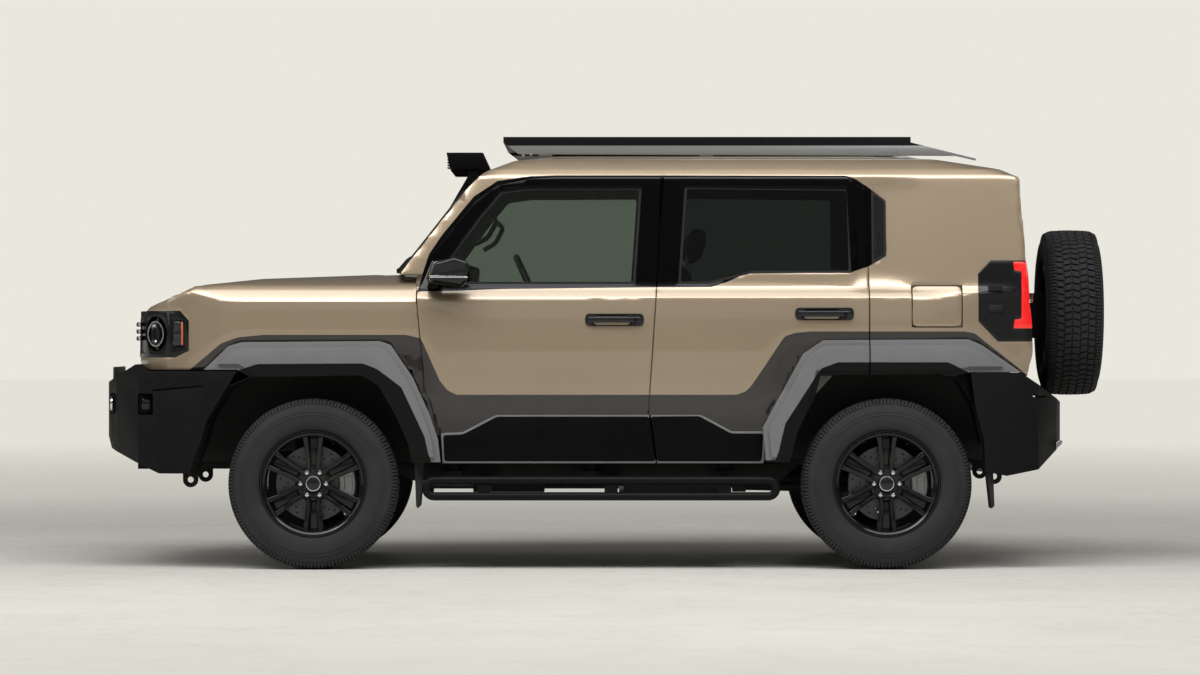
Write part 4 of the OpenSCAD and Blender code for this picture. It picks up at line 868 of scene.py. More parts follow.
print("mirrors")
mirrorIn, mirrorOut = -sideY - 0.035, -sideY - 0.164
head = slab("head", aboveBelt((508, 40), (524, 16), (672, 4), (694, 24), (702, 116), (640, 136), (540, 124)), "xz",
            mirrorIn, mirrorOut)
pick(head, lambda at: at.x < f(600) and at.y < mirrorIn - 0.05, "VERT")
bpy.ops.transform.resize(value=(0.86, 1, 0.8), center_override=(f(640), 0, beltHeight + 0.06))
done()
bevelled(head, 0.026, 5, 25)
recess = block("recess", (f(690), mirrorOut + 0.014, beltHeight + 0.018),
               (f(760), mirrorIn - 0.010, beltHeight + 0.108))
bevelled(recess, 0.018, 4)
cut(head, recess)
lined(head, pianoBlack)
lined(head, claddingPlastic, lambda at, normal: at.z < beltHeight + 0.032)
pane = lump("pane", (f(688), mirrorOut + 0.017, beltHeight + 0.021), (f(692), mirrorIn - 0.013, beltHeight + 0.105),
            polished, 0.001, 1)
band = slab("band", aboveBelt((530, 44), (700, 44), (700, 50), (530, 56)), "xz", mirrorIn - 0.03, mirrorOut - 0.0012)
lined(soften(band, 0.002), polished)
arm = slab("arm", aboveBelt((512, -2), (532, 50), (580, 50), (562, -2)), "xz", -0.838, mirrorIn - 0.015)
bevelled(arm, 0.010, 3)
lined(arm, claddingPlastic)
sail = slab("sail", rounded(aboveBelt((478, -10), (536, 126), (566, 100), (552, -10)), 0.008), "xz", -0.834, -0.858)
pick(sail, lambda at: at.z > beltHeight + 0.05, "VERT")
bpy.ops.transform.translate(value=(0, 0.014, 0))
done()
lined(soften(sail, 0.003), flarePlastic)
mirror = join("leftMirror", head, pane, band, arm, sail)
keep(shine(mirror), "front_left_door", "dark_plastic")
keep(mirrored(mirror, "rightMirror"), "front_right_door", "dark_plastic")


# Wheels, modelled once around the origin, the outside towards -Y

print("wheels")
wheelForm = {
    "treadTop": 0.385, "treadEdge": 0.0925, "shoulderTop": 0.381, "shoulderEnd": 0.1190, "pitches": 72,
             "grooveDepth": 0.0095,
    "tyre": [(0.2285, 0.1045), (0.2405, 0.1045), (0.2440, 0.1165), (0.2505, 0.1225), (0.262, 0.1275), (0.275, 0.1307),
             (0.288, 0.1322), (0.2985, 0.1325), (0.3075, 0.1320), (0.3085, 0.1336), (0.3115, 0.1336), (0.3125, 0.1316),
             (0.3230, 0.1298), (0.3240, 0.1312), (0.3270, 0.1306), (0.3280, 0.1288), (0.3440, 0.1240), (0.3545, 0.1195),
             (0.3600, 0.1150), (0.3650, 0.1050), (0.3700, 0.0900), (0.3735, 0.0500), (0.3755, 0.0)],
    "barrel": [(0.2382, 0.1050), (0.2390, 0.1085), (0.2375, 0.1118), (0.2330, 0.1118), (0.2300, 0.1085),
               (0.2275, 0.1020),
               (0.2215, 0.0985), (0.2155, 0.0940), (0.2120, 0.0850), (0.2105, 0.0725), (0.2085, 0.0660),
               (0.2110, 0.0600),
               (0.2120, 0.0), (0.2120, -0.0600), (0.2200, -0.0900), (0.2240, -0.1050), (0.2280, -0.1100),
               (0.2385, -0.1110),
               (0.2385, -0.1050), (0.2284, -0.1046), (0.2260, -0.0900), (0.2190, -0.0600), (0.2190, 0.0600),
               (0.2284, 0.1046)],
    "rib": [(0.052, 0.009), (0.110, 0.0125), (0.160, 0.0175), (0.2135, 0.0235), (0.2135, 0.0475), (0.160, 0.0385),
            (0.110, 0.0335), (0.052, 0.0300)],
    "face": 0.042, "lugCircle": 0.0572,
}


def crown(across):  # radius of the tread's top
    across, edge = abs(across), wheelForm["treadEdge"]
    if across < edge:
        return wheelForm["treadTop"] - 0.004 * (across / edge) ** 2
    return wheelForm["shoulderTop"] - (across - edge) / 0.024 * 0.012


def treadBlock(low, high, start, end, skew=0.0, depth=wheelForm["grooveDepth"]):
    bpy.ops.mesh.primitive_cube_add(size=2)
    piece = named("treadBlock")
    for point in piece.data.vertices:
        right, up, on = (point.co.x > 0, point.co.z > 0, point.co.y > 0)
        across = high if right else low
        angle = radians((end if on else start) + (skew if right else 0))
        radius = crown(across) - (0 if up else depth + 0.004)
        point.co = (radius * sin(angle), across, radius * cos(angle))
    return piece


def spunCopies(piece, count):  # copies all round the wheel's axle
    editAll(piece)
    bpy.ops.mesh.spin(steps=count - 1, angle=2 * pi * (count - 1) / count, dupli=True, center=(0, 0, 0), axis=(0, 1, 0))
    done()
    return piece


def buildTyre():
    half = wheelForm["tyre"]
    carcass = spinProfile("carcass", half + [(radius, -along) for radius, along in reversed(half[:-1])], 120)
    blocks = []
    rows = ((-0.016, 0.016, 0.0, 3.6, 1.1), (0.022, 0.052, 0.9, 4.5, -1.0), (-0.052, -0.022, 2.4, 6.0, -1.0),
            (0.058, 0.086, 2.6, 6.2, 0.8), (-0.086, -0.058, 0.6, 4.2, 0.8))
    for low, high, start, end, skew in rows:
        blocks.append(treadBlock(low, high, start, end, skew))
    for sign in (-1, 1):
        for k in range(2):
            blocks.append(treadBlock(*sorted((sign * wheelForm["treadEdge"], sign * wheelForm["shoulderEnd"])),
                                     k * 2.5 + (sign > 0) * 1.2, k * 2.5 + 1.75 + (sign > 0) * 1.2, 0.0, 0.006))
    for piece in blocks:
        editAll(piece)
        faceOut()
    tread = join("tread", *blocks)
    bevelled(tread, 0.0009, 1, 40)
    spunCopies(tread, wheelForm["pitches"])
    return shine(join("tyre", carcass, tread), 40)


def buildRim():
    parts = [spinProfile("barrel", [(radius, -along) for radius, along in wheelForm["barrel"]], 120)]
    face = wheelForm["face"]
    ribs = []
    for mirror in (1, -1):
        rib = slab("rib", [(radius, mirror * across) for radius, across in wheelForm["rib"]], "xz", -face - 0.004,
                   -face - 0.034)
        pick(rib, lambda at: at.x > 0.15, "VERT")
        bpy.ops.transform.translate(value=(0, -0.010, 0))
        done()
        pick(rib, lambda at: at.x > 0.20, "VERT")
        bpy.ops.transform.translate(value=(0, -0.011, 0))
        done()
        ribs.append(soften(rib, 0.0045, 3, 40))
    web = slab("web", [(0.060, -0.022), (0.2135, -0.03), (0.2135, 0.03), (0.060, 0.022)], "xz", -face - 0.002,
               -face - 0.010)
    ribs.append(soften(web, 0.003, 2))
    spokes = spunCopies(join("spokes", *ribs), 6)
    spokes.data.transform(Matrix.Rotation(radians(-30), 4, "Y"))
    hub = spinProfile("hub", [(0.0, -0.036), (0.076, -0.036), (0.082, -0.042), (0.082, -0.064), (0.074, -0.0705),
                              (0.046, -0.0725), (0.041, -0.0700), (0.0, -0.0700)], 72)
    parts += [spokes, hub]
    cap = spinProfile("cap", [(0.0, -0.068), (0.0365, -0.068), (0.0365, -0.0765), (0.0340, -0.0785), (0.0240, -0.0800),
                              (0.0, -0.0805)], 64)
    lug = disc("lug", (wheelForm["lugCircle"], -0.0755, 0), 0.0098, 0.016, "y", 6)
    soften(lug, 0.0016, 2)
    well = disc("well", (wheelForm["lugCircle"], -0.073, 0), 0.0125, 0.003, "y", 24)
    lined(lug, polished)
    lined(well, satinBlack)
    for part in parts:
        lined(part, wheelBlack)
    lined(cap, pianoBlack)
    ring = spinProfile("ring", [(0.0300, -0.0790), (0.0330, -0.0790), (0.0330, -0.0800), (0.0300, -0.0805)], 64)
    lined(ring, polished)
    valve = disc("valve", (0.2010 * cos(1.1), -0.080, 0.2010 * sin(1.1)), 0.0035, 0.034, "y", 16)
    lined(valve, sealRubber)
    return shine(join("rim", *parts, cap, ring, spunCopies(join("lugs", well, lug), 6), valve), 34)


def buildBrakeDisc():
    rotor = spinProfile("rotor", [(0.060, -0.030), (0.090, -0.030), (0.092, -0.012), (0.170, -0.012), (0.1715, -0.006),
                                  (0.1715, 0.010), (0.170, 0.014), (0.092, 0.014), (0.088, 0.010), (0.060, 0.010)], 96)
    hole = disc("toolHole", (0.118, 0, 0), 0.0042, 0.06, "y", 12)
    holes = spunCopies(join("toolHoles", hole, disc("toolHole", (0.135 * cos(0.13), 0, 0.135 * sin(0.13)), 0.0042, 0.06,
                                                    "y", 12),
                            disc("toolHole", (0.152 * cos(0.26), 0, 0.152 * sin(0.26)), 0.0042, 0.06, "y", 12)), 16)
    return soften(cut(rotor, holes), 0.0008, 1, 50)


def buildCaliper():
    arc = lambda radius, spread: [(radius * cos(radians(a)), radius * sin(radians(a)))
                                  for a in range(-spread, spread + 1, 6)]
    body = slab("caliperBody", arc(0.192, 30) + arc(0.112, 24)[::-1], "xz", -0.036, 0.034)
    soften(body, 0.009, 3, 40)
    cut(body, soften(slab("toolWindow", arc(0.176, 12) + arc(0.138, 12)[::-1], "xz", -0.06, -0.030), 0.003, 1))
    bolts = [disc("bolt", (0.158 * cos(a), -0.036, 0.158 * sin(a)), 0.007, 0.006, "y", 6) for a in (-0.42, 0.42)]
    return shine(join("caliper", body, *bolts))


tyre, rim, rotor, caliper = buildTyre(), buildRim(), buildBrakeDisc(), buildCaliper()
places = {
    "frontLeft": (Matrix.Translation((frontAxle, -wheelY, hubHeight)), "front_left", "left_knuckle"),
    "frontRight": (Matrix.Translation((frontAxle, wheelY, hubHeight)) @ mirrorY, "front_right", "right_knuckle"),
    "rearLeft": (Matrix.Translation((rearAxle, -wheelY, hubHeight)), "rear_left", "chassis"),
    "rearRight": (Matrix.Translation((rearAxle, wheelY, hubHeight)) @ mirrorY, "rear_right", "chassis"),
    "spare": (Matrix.Translation(middle("spare_tyre")) @ Matrix.Rotation(pi / 2, 4, "Z"), "spare", None),
}
for name, (matrix, stem, holder) in places.items():
    body = stem + "_wheel" if holder else "tailgate"
    keep(duplicate(tyre, name + "Tyre", matrix), body, "tyre", stem + "_tyre", finish=tyreRubber)
    keep(duplicate(rim, name + "Rim", matrix), body, "wheel_black", stem + "_rim")
    if holder:
        keep(duplicate(rotor, name + "BrakeDisc", matrix), body, "chassis_metal", finish=discSteel)
        keep(duplicate(caliper, name + "Caliper", matrix), holder, "chassis_metal", finish=castMetal)
for piece in (tyre, rim, rotor, caliper):
    bpy.data.objects.remove(piece)


# Lamps

print("headlamps")
lampZ = 1.059
lampPlace = (f(-719), -0.7585, lampZ)
lampYaw = radians(44)


def aimed(piece):  # turns a piece drawn along X to the lamp's direction and puts it in its place
    piece.data.transform(Matrix.Translation(lampPlace) @ Matrix.Rotation(lampYaw, 4, "Z"))
    return piece


def bowl(name, profile, finish):  # a round part on the lamp's axis
    piece = aimed(spinProfile(name, profile, 72, "x"))
    return lined(shine(piece), finish)


lampHousing = cadCopy("headlights", "headlampHousing")
cut(lampHousing, block("toolLeftOnly", (f(-900), 0, 0), (f(0), 1.2, 2)))
cut(lampHousing, aimed(disc("toolWell", (0.02, 0, 0), 0.080, 0.11, "x", 64)))
cut(lampHousing, soften(block("toolMarker", (f(-634), -1, lampZ - 0.060), (f(-582), -0.824, lampZ + 0.061)), 0.008, 3))
cut(lampHousing,
    soften(block("toolCentre", (noseX - 0.05, -0.70, lampZ - 0.075), (noseX + 0.012, -0.575, lampZ + 0.075)), 0.006, 2))
bevelled(lampHousing, 0.0035, 2, 32)
lined(shine(lampHousing), lampBlack)
parts = [
    lampHousing,
    bowl("reflector", [(0.052, 0.0), (0.052, 0.030), (0.030, 0.052), (0.006, 0.0745), (0.0, 0.079), (0.004, 0.0795),
                       (0.034, 0.055), (0.058, 0.030), (0.058, 0.0)], polished),
    bowl("chromeRing", [(-0.004, 0.0710), (-0.0085, 0.0745), (-0.005, 0.0790), (0.012, 0.0790), (0.012, 0.0710)],
         polished),
    bowl("innerRing", [(0.018, 0.044), (0.012, 0.047), (0.012, 0.050), (0.020, 0.052), (0.026, 0.050), (0.026, 0.044)],
         lampBlack),
    bowl("projector", [(0.030, 0.0), (0.030, 0.041), (0.012, 0.041), (0.010, 0.038), (0.012, 0.036), (0.020, 0.035),
                       (0.020, 0.0)], lampBlack),
    bowl("projectorLens", [(0.022, 0.0), (0.022, 0.035), (0.014, 0.033), (0.005, 0.024), (0.0, 0.012), (-0.0015, 0.0)],
         lampGlass),
]
crossBar = aimed(block("crossBar", (0.010, -0.010, -0.073), (0.020, 0.010, 0.073)))
parts.append(lined(soften(crossBar, 0.002), lampBlack))
for dz in (0.043, 0.011, -0.020):
    parts.append(lump("bead", (noseX - 0.006, -0.69, lampZ + dz - 0.010), (noseX + 0.014, -0.585, lampZ + dz + 0.010),
                      lampGlass, 0.004, 3))
    parts.append(lump("back", (noseX + 0.004, -0.685, lampZ + dz - 0.007), (noseX + 0.011, -0.59, lampZ + dz + 0.007),
                      polished, 0.002, 2))
parts.append(lump("marker", (f(-630), -0.856, lampZ - 0.055), (f(-586), -0.820, lampZ + 0.056), lampGlass, 0.006, 3))
parts.append(lump("amber", (f(-596), -0.845, lampZ - 0.050), (f(-588), -0.822, lampZ + 0.051), amberLens, 0.003, 2))
for k in range(5):
    rib = block("rib", (f(-626), -0.838, lampZ - 0.048 + k * 0.021), (f(-600), -0.822, lampZ - 0.036 + k * 0.021))
    parts.append(lined(soften(rib, 0.002, 1), lampBlack))
parts.append(bowl("cover", [(-0.009, 0.0), (-0.009, 0.030), (-0.007, 0.060), (-0.003, 0.0765), (-0.001, 0.0765),
                            (-0.005, 0.060), (-0.007, 0.030), (-0.007, 0.0)], lampGlass))
headlamp = followForm(join("leftHeadlamp", *parts), "nose", 0.05)
keep(shine(headlamp), "chassis", "lamp_housing", "headlights")
keep(mirrored(headlamp, "rightHeadlamp"), "chassis", "lamp_housing", "headlights")

print("tail lamps")
tailHousing = cadCopy("tail_lamps", "tailHousing")
cut(tailHousing, block("toolLeftOnly", (r(0), 0, 0), (r(900), 1.2, 2)))
lensOutline = fromMid([(1860, 1384), (1990, 1384), (1990, 1084), (1860, 1084), (1866, 1122), (1896, 1128), (1898, 1340),
                       (1866, 1346)])
housing = cut(duplicate(tailHousing, "housing"), slab("toolLens", lensOutline, "xz", -0.99, -0.60))
bevelled(housing, 0.004, 3, 32)
lined(gridCuts(housing, 0.022, "xz"), lampBlack)
lens = cut(tailHousing, slab("toolLens", inset(lensOutline, 0.0008), "xz", -0.99, -0.60), "INTERSECT")
modify(lens, "DISPLACE", strength=0.0018, mid_level=0)
bevelled(lens, 0.0035, 3, 32)
lined(gridCuts(lens, 0.022, "xz"), redLens)
slots = [lump("slot", (midX + 1.747, -0.8725, z - 0.010), (midX + 1.812, -0.860, z + 0.022), sealRubber, 0.0035, 2)
         for z in (1.168, 1.262)]
reverse = lump("reverse", (r(640), -0.83, 1.20), (r(661), -0.70, 1.24), lampGlass, 0.004, 2)
tailLamp = followForm(join("leftTailLamp", housing, lens, *slots, reverse), "cabin", 0.03)
keep(shine(tailLamp), "chassis", "lamp_red", "tail_lamps")
keep(mirrored(tailLamp, "rightTailLamp"), "chassis", "lamp_red", "tail_lamps")


# Bumpers, flares, grille

print("bumpers and flares")
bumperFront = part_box("front_bumper")[0].x
front = cadCopy("front_bumper", "frontBumper")
for sign in (-1, 1):
    pocket = block("toolFog", (bumperFront - 0.02, sign * 0.500, 0.695), (bumperFront + 0.055, sign * 0.60, 0.790))
    cut(front, soften(pocket, 0.008, 3))
    sidePocket = slab("toolSide", rounded(oblong(midX - 2.082, 0.695, midX - 2.010, 0.790), 0.006), "xz", sign * 0.760,
                      sign * 0.99)
    cut(front, sidePocket)
    crease = slab("toolCrease", [(bumperFront - 0.02, 0.842), (f(-748), 0.842), (f(-718), 0.802), (f(-492), 0.822),
                                 (f(-492), 0.8275), (f(-722), 0.8085), (f(-752), 0.8485), (bumperFront - 0.02, 0.8485)],
                  "xz", sign * 0.845, sign * 0.99)
    cut(front, crease)
cut(front, block("toolLow", (bumperFront - 0.05, -0.44, 0.470), (bumperFront + 0.05, 0.44, 0.520)))
bevelled(front, 0.0065, 3, 20)
lined(shine(front), bumperPlastic)
skid = slab("skid", [(bumperFront + 0.010, 0.592), (bumperFront + 0.016, 0.548), (bumperFront + 0.16, 0.470),
                     (bumperFront + 0.175, 0.482), (bumperFront + 0.032, 0.562), (bumperFront + 0.026, 0.592)], "xz",
            -0.40, 0.40)
lined(soften(skid, 0.003), rackGrey)
frontParts = [front, skid]
for sign in (-1, 1):
    pod = lump("pod", (bumperFront + 0.028, sign * 0.55 - 0.046, 0.699),
               (bumperFront + 0.060, sign * 0.55 + 0.046, 0.786), claddingPlastic, 0.006, 3)
    lampRing = disc("fogRing", (bumperFront + 0.026, sign * 0.55, 0.742), 0.034, 0.016, "x", 48)
    lined(soften(lampRing, 0.002), polished)
    lampLens = disc("fogLens", (bumperFront + 0.020, sign * 0.55, 0.742), 0.030, 0.010, "x", 48)
    lined(soften(lampLens, 0.003), lampGlass)
    sidePod = lump("sidePod", (midX - 2.079, sign * 0.70, 0.699), (midX - 2.013, sign * 0.812, 0.786), claddingPlastic,
                   0.004, 2)
    sideLamp = lump("sideLamp", (midX - 2.068, sign * 0.80, 0.715), (midX - 2.024, sign * 0.820, 0.770), lampGlass,
                    0.008, 3)
    frontParts += [pod, lampRing, lampLens, sidePod, sideLamp]
for k in range(9):
    frontParts.append(lump("slat", (bumperFront + 0.030, -0.425, 0.622 + k * 0.018),
                           (bumperFront + 0.044, 0.425, 0.630 + k * 0.018), claddingPlastic, 0.002, 1))
for y in (-0.30, -0.15, 0.0, 0.15, 0.30):
    post = block("post", (bumperFront + 0.036, y - 0.005, 0.612), (bumperFront + 0.050, y + 0.005, 0.778))
    frontParts.append(lined(soften(post, 0.002, 1), claddingPlastic))
back = block("back", (bumperFront + 0.0565, -0.429, 0.611), (bumperFront + 0.0595, 0.429, 0.779))
frontParts.append(lined(back, sealRubber))
keep(join("frontBumper", *frontParts), "chassis", "dark_plastic", "front_bumper")

rearEnd = cadCopy("rear_bumper", "rearBumper")
for sign in (-1, 1):
    crease = slab("toolCrease", oblong(r(640), 0.7735, r(900), 0.781), "xz", sign * 0.80, sign * 0.99)
    cut(rearEnd, crease)
bevelled(rearEnd, 0.0065, 3, 20)
lined(shine(rearEnd), bumperPlastic)
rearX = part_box("rear_bumper")[1].x
rearParts = [rearEnd]
for sign in (-1, 1):
    corner = slab("corner", [(r(690), 0.450), (rearX - 0.006, 0.560), (rearX, 0.575), (rearX - 0.024, 0.575),
                             (r(678), 0.462)], "xz", sign * 0.560, sign * 0.70)
    lined(soften(corner, 0.003), rackGrey)
    reflector = lump("reflector", (rearX - 0.010, sign * 0.56, 0.655), (rearX + 0.0005, sign * 0.42, 0.690), redLens,
                     0.003, 2)
    rearParts += [corner, reflector]
for k in range(5):
    rearParts.append(lump("stepRib", (r(700) + k * 0.018, -0.55, 0.7545), (r(709) + k * 0.018, 0.55, 0.7595),
                          claddingPlastic, 0.0015, 1))
keep(join("rearBumper", *rearParts), "chassis", "dark_plastic", "rear_bumper")

flares = cadCopy("wheel_flares", "wheelFlares")
bevelled(flares, 0.006, 3, 24)
lined(lined(shine(flares), flareGrey), claddingPlastic, lambda at, normal: abs(normal.y) < 0.5
      and (normal.z < -0.2 or abs(at.y) < sideY - 0.03))
keep(flares, "chassis", "dark_plastic", "wheel_flares")

grilleLow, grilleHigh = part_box("grille")
grille = cadCopy("grille", "grille")
bevelled(grille, 0.004, 2, 30)
lined(shine(grille), pianoBlack)
grilleParts = [grille]
mesh = block("backing", (grilleHigh.x - 0.012, grilleLow.y + 0.01, grilleLow.z + 0.01),
             (grilleHigh.x - 0.006, grilleHigh.y - 0.01, grilleHigh.z - 0.01))
grilleParts.append(lined(mesh, sealRubber))
for k in range(34):
    y = grilleLow.y + 0.04 + k * (grilleHigh.y - grilleLow.y - 0.08) / 33
    grilleParts.append(lump("fin", (grilleLow.x + 0.016, y - 0.0025, grilleLow.z + 0.035),
                            (grilleLow.x + 0.034, y + 0.0025, grilleHigh.z - 0.022), satinBlack, 0.001, 1))
grilleParts.append(lump("blank", (grilleLow.x + 0.001, -0.20, 1.020), (grilleLow.x + 0.022, 0.20, 1.068), satinBlack,
                        0.006, 3))
keep(join("grille", *grilleParts), "chassis", "dark_plastic", "grille")


# Roof, screen and underbody

def tube(name, points, radius, sides=3):
    path = bpy.data.curves.new(name, "CURVE")
    path.dimensions, path.bevel_depth, path.bevel_resolution, path.use_fill_caps = "3D", radius, sides, True
    line = path.splines.new("POLY")
    line.points.add(len(points) - 1)
    for spot, at in zip(line.points, points):
        spot.co = (*at, 1)
    holder = bpy.data.objects.new(name, path)
    scene.collection.objects.link(holder)
    only(holder)
    bpy.ops.object.convert(target="MESH")
    return shine(named(name), 40)


def bend(points, radius, steps=6):  # rounds the corners of a path
    path = [Vector(points[0])]
    for before, at, after in zip(points, points[1:], points[2:]):
        here = Vector(at)
        start = here + (Vector(before) - here).normalized() * radius
        end = here + (Vector(after) - here).normalized() * radius
        path += [start * (1 - t) ** 2 + here * 2 * t * (1 - t) + end * t * t
                 for t in (k / steps for k in range(steps + 1))]
    return path + [Vector(points[-1])]


def coated(node, slot, finish, body="chassis", width=0.003, segments=2):  # a CAD part with softened edges
    piece = cadCopy(node, camel(node))
    bevelled(piece, width, segments, 35)
    return keep(shine(piece, 40), body, slot, node, finish=finish)


print("roof rack and air intake")
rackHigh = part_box("roof_rack")[1]
rack = coated("roof_rack", "rack_metal", satinBlack, width=0.0025)
sliced(rack, [((0, 0, rackHigh.z - 0.040), (0, 0, 1))])
lined(rack, rackGrey, lambda at, normal: at.z < rackHigh.z - 0.040 and abs(at.y) > rackHigh.y - 0.042)
rackBolts = [(-0.349, 1.872), (-0.314, 1.876), (0.560, 1.882), (0.600, 1.882), (1.300, 1.890), (1.340, 1.890)]
for name, sign in (("leftRackBolts", -1), ("rightRackBolts", 1)):
    bolts = [soften(disc("bolt", (midX + x, sign * (rackHigh.y + 0.0008), z), 0.0075, 0.006, "y", 6), 0.0012, 1)
             for x, z in rackBolts]
    keep(shine(join(name, *bolts)), "chassis", "rack_metal", finish=castMetal)
fin = slab("roofFin",
           rounded([(r(335), roofHeight - 0.062), (r(352), roofHeight - 0.020), (r(392), roofHeight - 0.014),
                    (r(434), roofHeight - 0.052), (r(436), roofHeight - 0.068)], 0.006), "xz", -0.016, 0.016)
pick(fin, lambda at: at.z > roofHeight - 0.03, "VERT")
bpy.ops.transform.resize(value=(1, 0.4, 1), center_override=(0, 0, 0))
done()
keep(soften(fin, 0.005, 3), "chassis", "dark_plastic", finish=pianoBlack)
coated("air_intake", "dark_plastic", claddingPlastic, width=0.008, segments=3)
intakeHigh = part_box("air_intake")[1]
louvres = [soften(block("louvre", (f(552), intakeHigh.y - 0.215, roofHeight - 0.008 + k * 0.013),
                        (f(566), intakeHigh.y - 0.095, roofHeight - 0.002 + k * 0.013)), 0.0015, 1) for k in range(5)]
keep(join("intakeLouvres", *louvres), "chassis", "dark_plastic", finish=satinBlack)

print("screen and wipers")
screenUp = Vector((0.614, 0, 0.789))
screenOut = Vector((-0.789, 0, 0.614))
screenFoot = Vector((f(381), 0, beltHeight + 0.062))


def onScreen(y, up, out):
    return screenFoot + screenUp * up + screenOut * out + Vector((0, y, 0))


wiperParts = []
for pivot, tip in ((-0.60, 0.02), (0.02, 0.60)):
    hub = disc("hub", onScreen(pivot, 0.015, 0.012), 0.017, 0.022, "z", 24)
    wiperParts.append(lined(soften(hub, 0.003), satinBlack))
    arm = tube("arm",
               bend([onScreen(pivot, 0.018, 0.020), onScreen(pivot + 0.2, 0.075, 0.026),
                     onScreen(tip - 0.20, 0.105, 0.020)], 0.05), 0.006)
    blade = tube("blade",
                 bend([onScreen(tip - 0.50, 0.062, 0.010), onScreen(tip - 0.2, 0.085, 0.013),
                       onScreen(tip, 0.090, 0.009)], 0.08), 0.0055)
    for part in (arm, blade):
        wiperParts.append(lined(part, sealRubber))
keep(join("wipers", *wiperParts), "chassis", "dark_plastic")
keep(tube("screenSeal",
          bend([onScreen(-0.755, 0.010, 0.002), onScreen(-0.690, 0.478, 0.002), onScreen(0.690, 0.478, 0.002),
                onScreen(0.755, 0.010, 0.002), onScreen(-0.755, 0.010, 0.002)], 0.05), 0.0055), "chassis",
     "black_rubber", finish=sealRubber)

print("underbody")
for node, slot, finish, *rest in (
        ("chassis_frame", "chassis_metal", chassisBlack), ("floor_pan", "cabin_plastic", cabinPlastic),
        ("front_suspension", "chassis_metal", chassisBlack), ("rear_axle", "chassis_metal", chassisBlack),
        ("exhaust", "chassis_metal", castMetal, "chassis", 0.001),
        ("fuel_tank", "cabin_plastic", cabinPlastic, "chassis", 0.012, 3),
        ("wheel_liners", "black_rubber", sealRubber, "chassis", 0.0015),
        ("mud_flaps", "black_rubber", tyreRubber, "chassis", 0.002),
        ("left_knuckle", "chassis_metal", castMetal, "left_knuckle"),
        ("right_knuckle", "chassis_metal", castMetal, "right_knuckle"),
        ("side_steps", "rack_metal", satinBlack, "chassis", 0.0025)):
    coated(node, slot, finish, *rest)
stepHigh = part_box("side_steps")[1]
treadPads = []
for sign in (-1, 1):
    wave = [(f(590) + k * 0.011, stepHigh.z - 0.012 + 0.0025 * (k % 2)) for k in range(109)]
    pad = slab("treadPad", wave + [(wave[-1][0], stepHigh.z - 0.020), (wave[0][0], stepHigh.z - 0.020)], "xz",
               sign * (stepHigh.y - 0.120), sign * (stepHigh.y - 0.024))
    treadPads.append(pad)
keep(shine(join("stepTreads", *treadPads), 20), "chassis", "black_rubber", finish=claddingPlastic)
engineLow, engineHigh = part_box("engine")
coated("engine", "engine_metal", castMetal, width=0.012)
coverLow, coverHigh = engineLow.x + 0.05, engineHigh.x - 0.06
coverTop = engineHigh.z
bayParts = [lump("engineCover", (coverLow, -0.20, coverTop - 0.01), (coverHigh, 0.20, coverTop + 0.035),
                 claddingPlastic, 0.014, 3)]
bayParts += [lump("rib", (engineLow.x + 0.09, y - 0.012, coverTop + 0.028),
                  (engineHigh.x - 0.10, y + 0.012, coverTop + 0.043), satinBlack, 0.005)
             for y in (-0.13, -0.065, 0.0, 0.065, 0.13)]
bayParts += [
    lump("battery", (f(60), 0.36, 0.90), (f(290), 0.53, 1.09), satinBlack, 0.006),
    lump("airBox", (f(-120), 0.33, 0.90), (f(30), 0.55, 1.10), cabinPlastic, 0.016, 3),
    lump("reservoir", (f(100), -0.55, 0.93), (f(250), -0.40, 1.09), headliner, 0.016, 3),
    lined(tube("hose", bend([(f(-60), 0.40, 1.07), (f(-60), 0.20, 1.115), (f(-60), 0.10, 1.115)], 0.05), 0.028, 4),
          sealRubber),
]
keep(join("engineBayParts", *bayParts), "chassis", "engine_metal")
apron = soften(block("apron", (f(-700), -0.56, 0.888), (f(-560), 0.56, 0.905)), 0.003, 1)
radiator = soften(block("radiator", (f(-690), -0.34, 0.60), (f(-650), 0.34, 1.05)), 0.006, 2)
keep(join("radiatorPanel", apron, radiator), "chassis", "chassis_metal", finish=satinBlack)

print("tail trim")


def tailX(z):  # the tailgate's outer face at a height
    lean = 0.022 / 0.28 if z < beltHeight else 0.038 / 0.505
    return r(645) + (beltHeight - z) * lean


handle = lump("tailHandle", (tailX(1.16) - 0.004, -0.585, 1.135), (tailX(1.16) + 0.022, -0.470, 1.175), pianoBlack,
              0.008, 3)
brakeLamp = lump("brakeLamp", (tailX(1.675) - 0.010, -0.16, 1.664), (tailX(1.675) + 0.006, 0.16, 1.684), redLens, 0.004)
wiper = tube("rearWiper",
             bend([(tailX(1.32) + 0.022, 0.02, 1.315), (tailX(1.35) + 0.026, -0.10, 1.345),
                   (tailX(1.39) + 0.020, -0.34, 1.385)], 0.04), 0.006)
wiperHub = soften(disc("wiperHub", (tailX(1.30) + 0.008, 0.02, 1.303), 0.020, 0.030, "x", 24), 0.003)
lined(wiper, sealRubber)
lined(wiperHub, satinBlack)
keep(join("tailgateTrim", handle, brakeLamp, wiper, wiperHub), "tailgate", "dark_plastic")
plates = [soften(block("plate", (x - 0.003, -0.26, z), (x + 0.003, 0.26, z + 0.112)), 0.0018, 1)
          for x, z in ((bumperFront + 0.0005, 0.795), (rearX - 0.001, 0.600))]
keep(join("blankPlates", *plates), "chassis", "dark_plastic", finish=rackGrey)


# Cabin

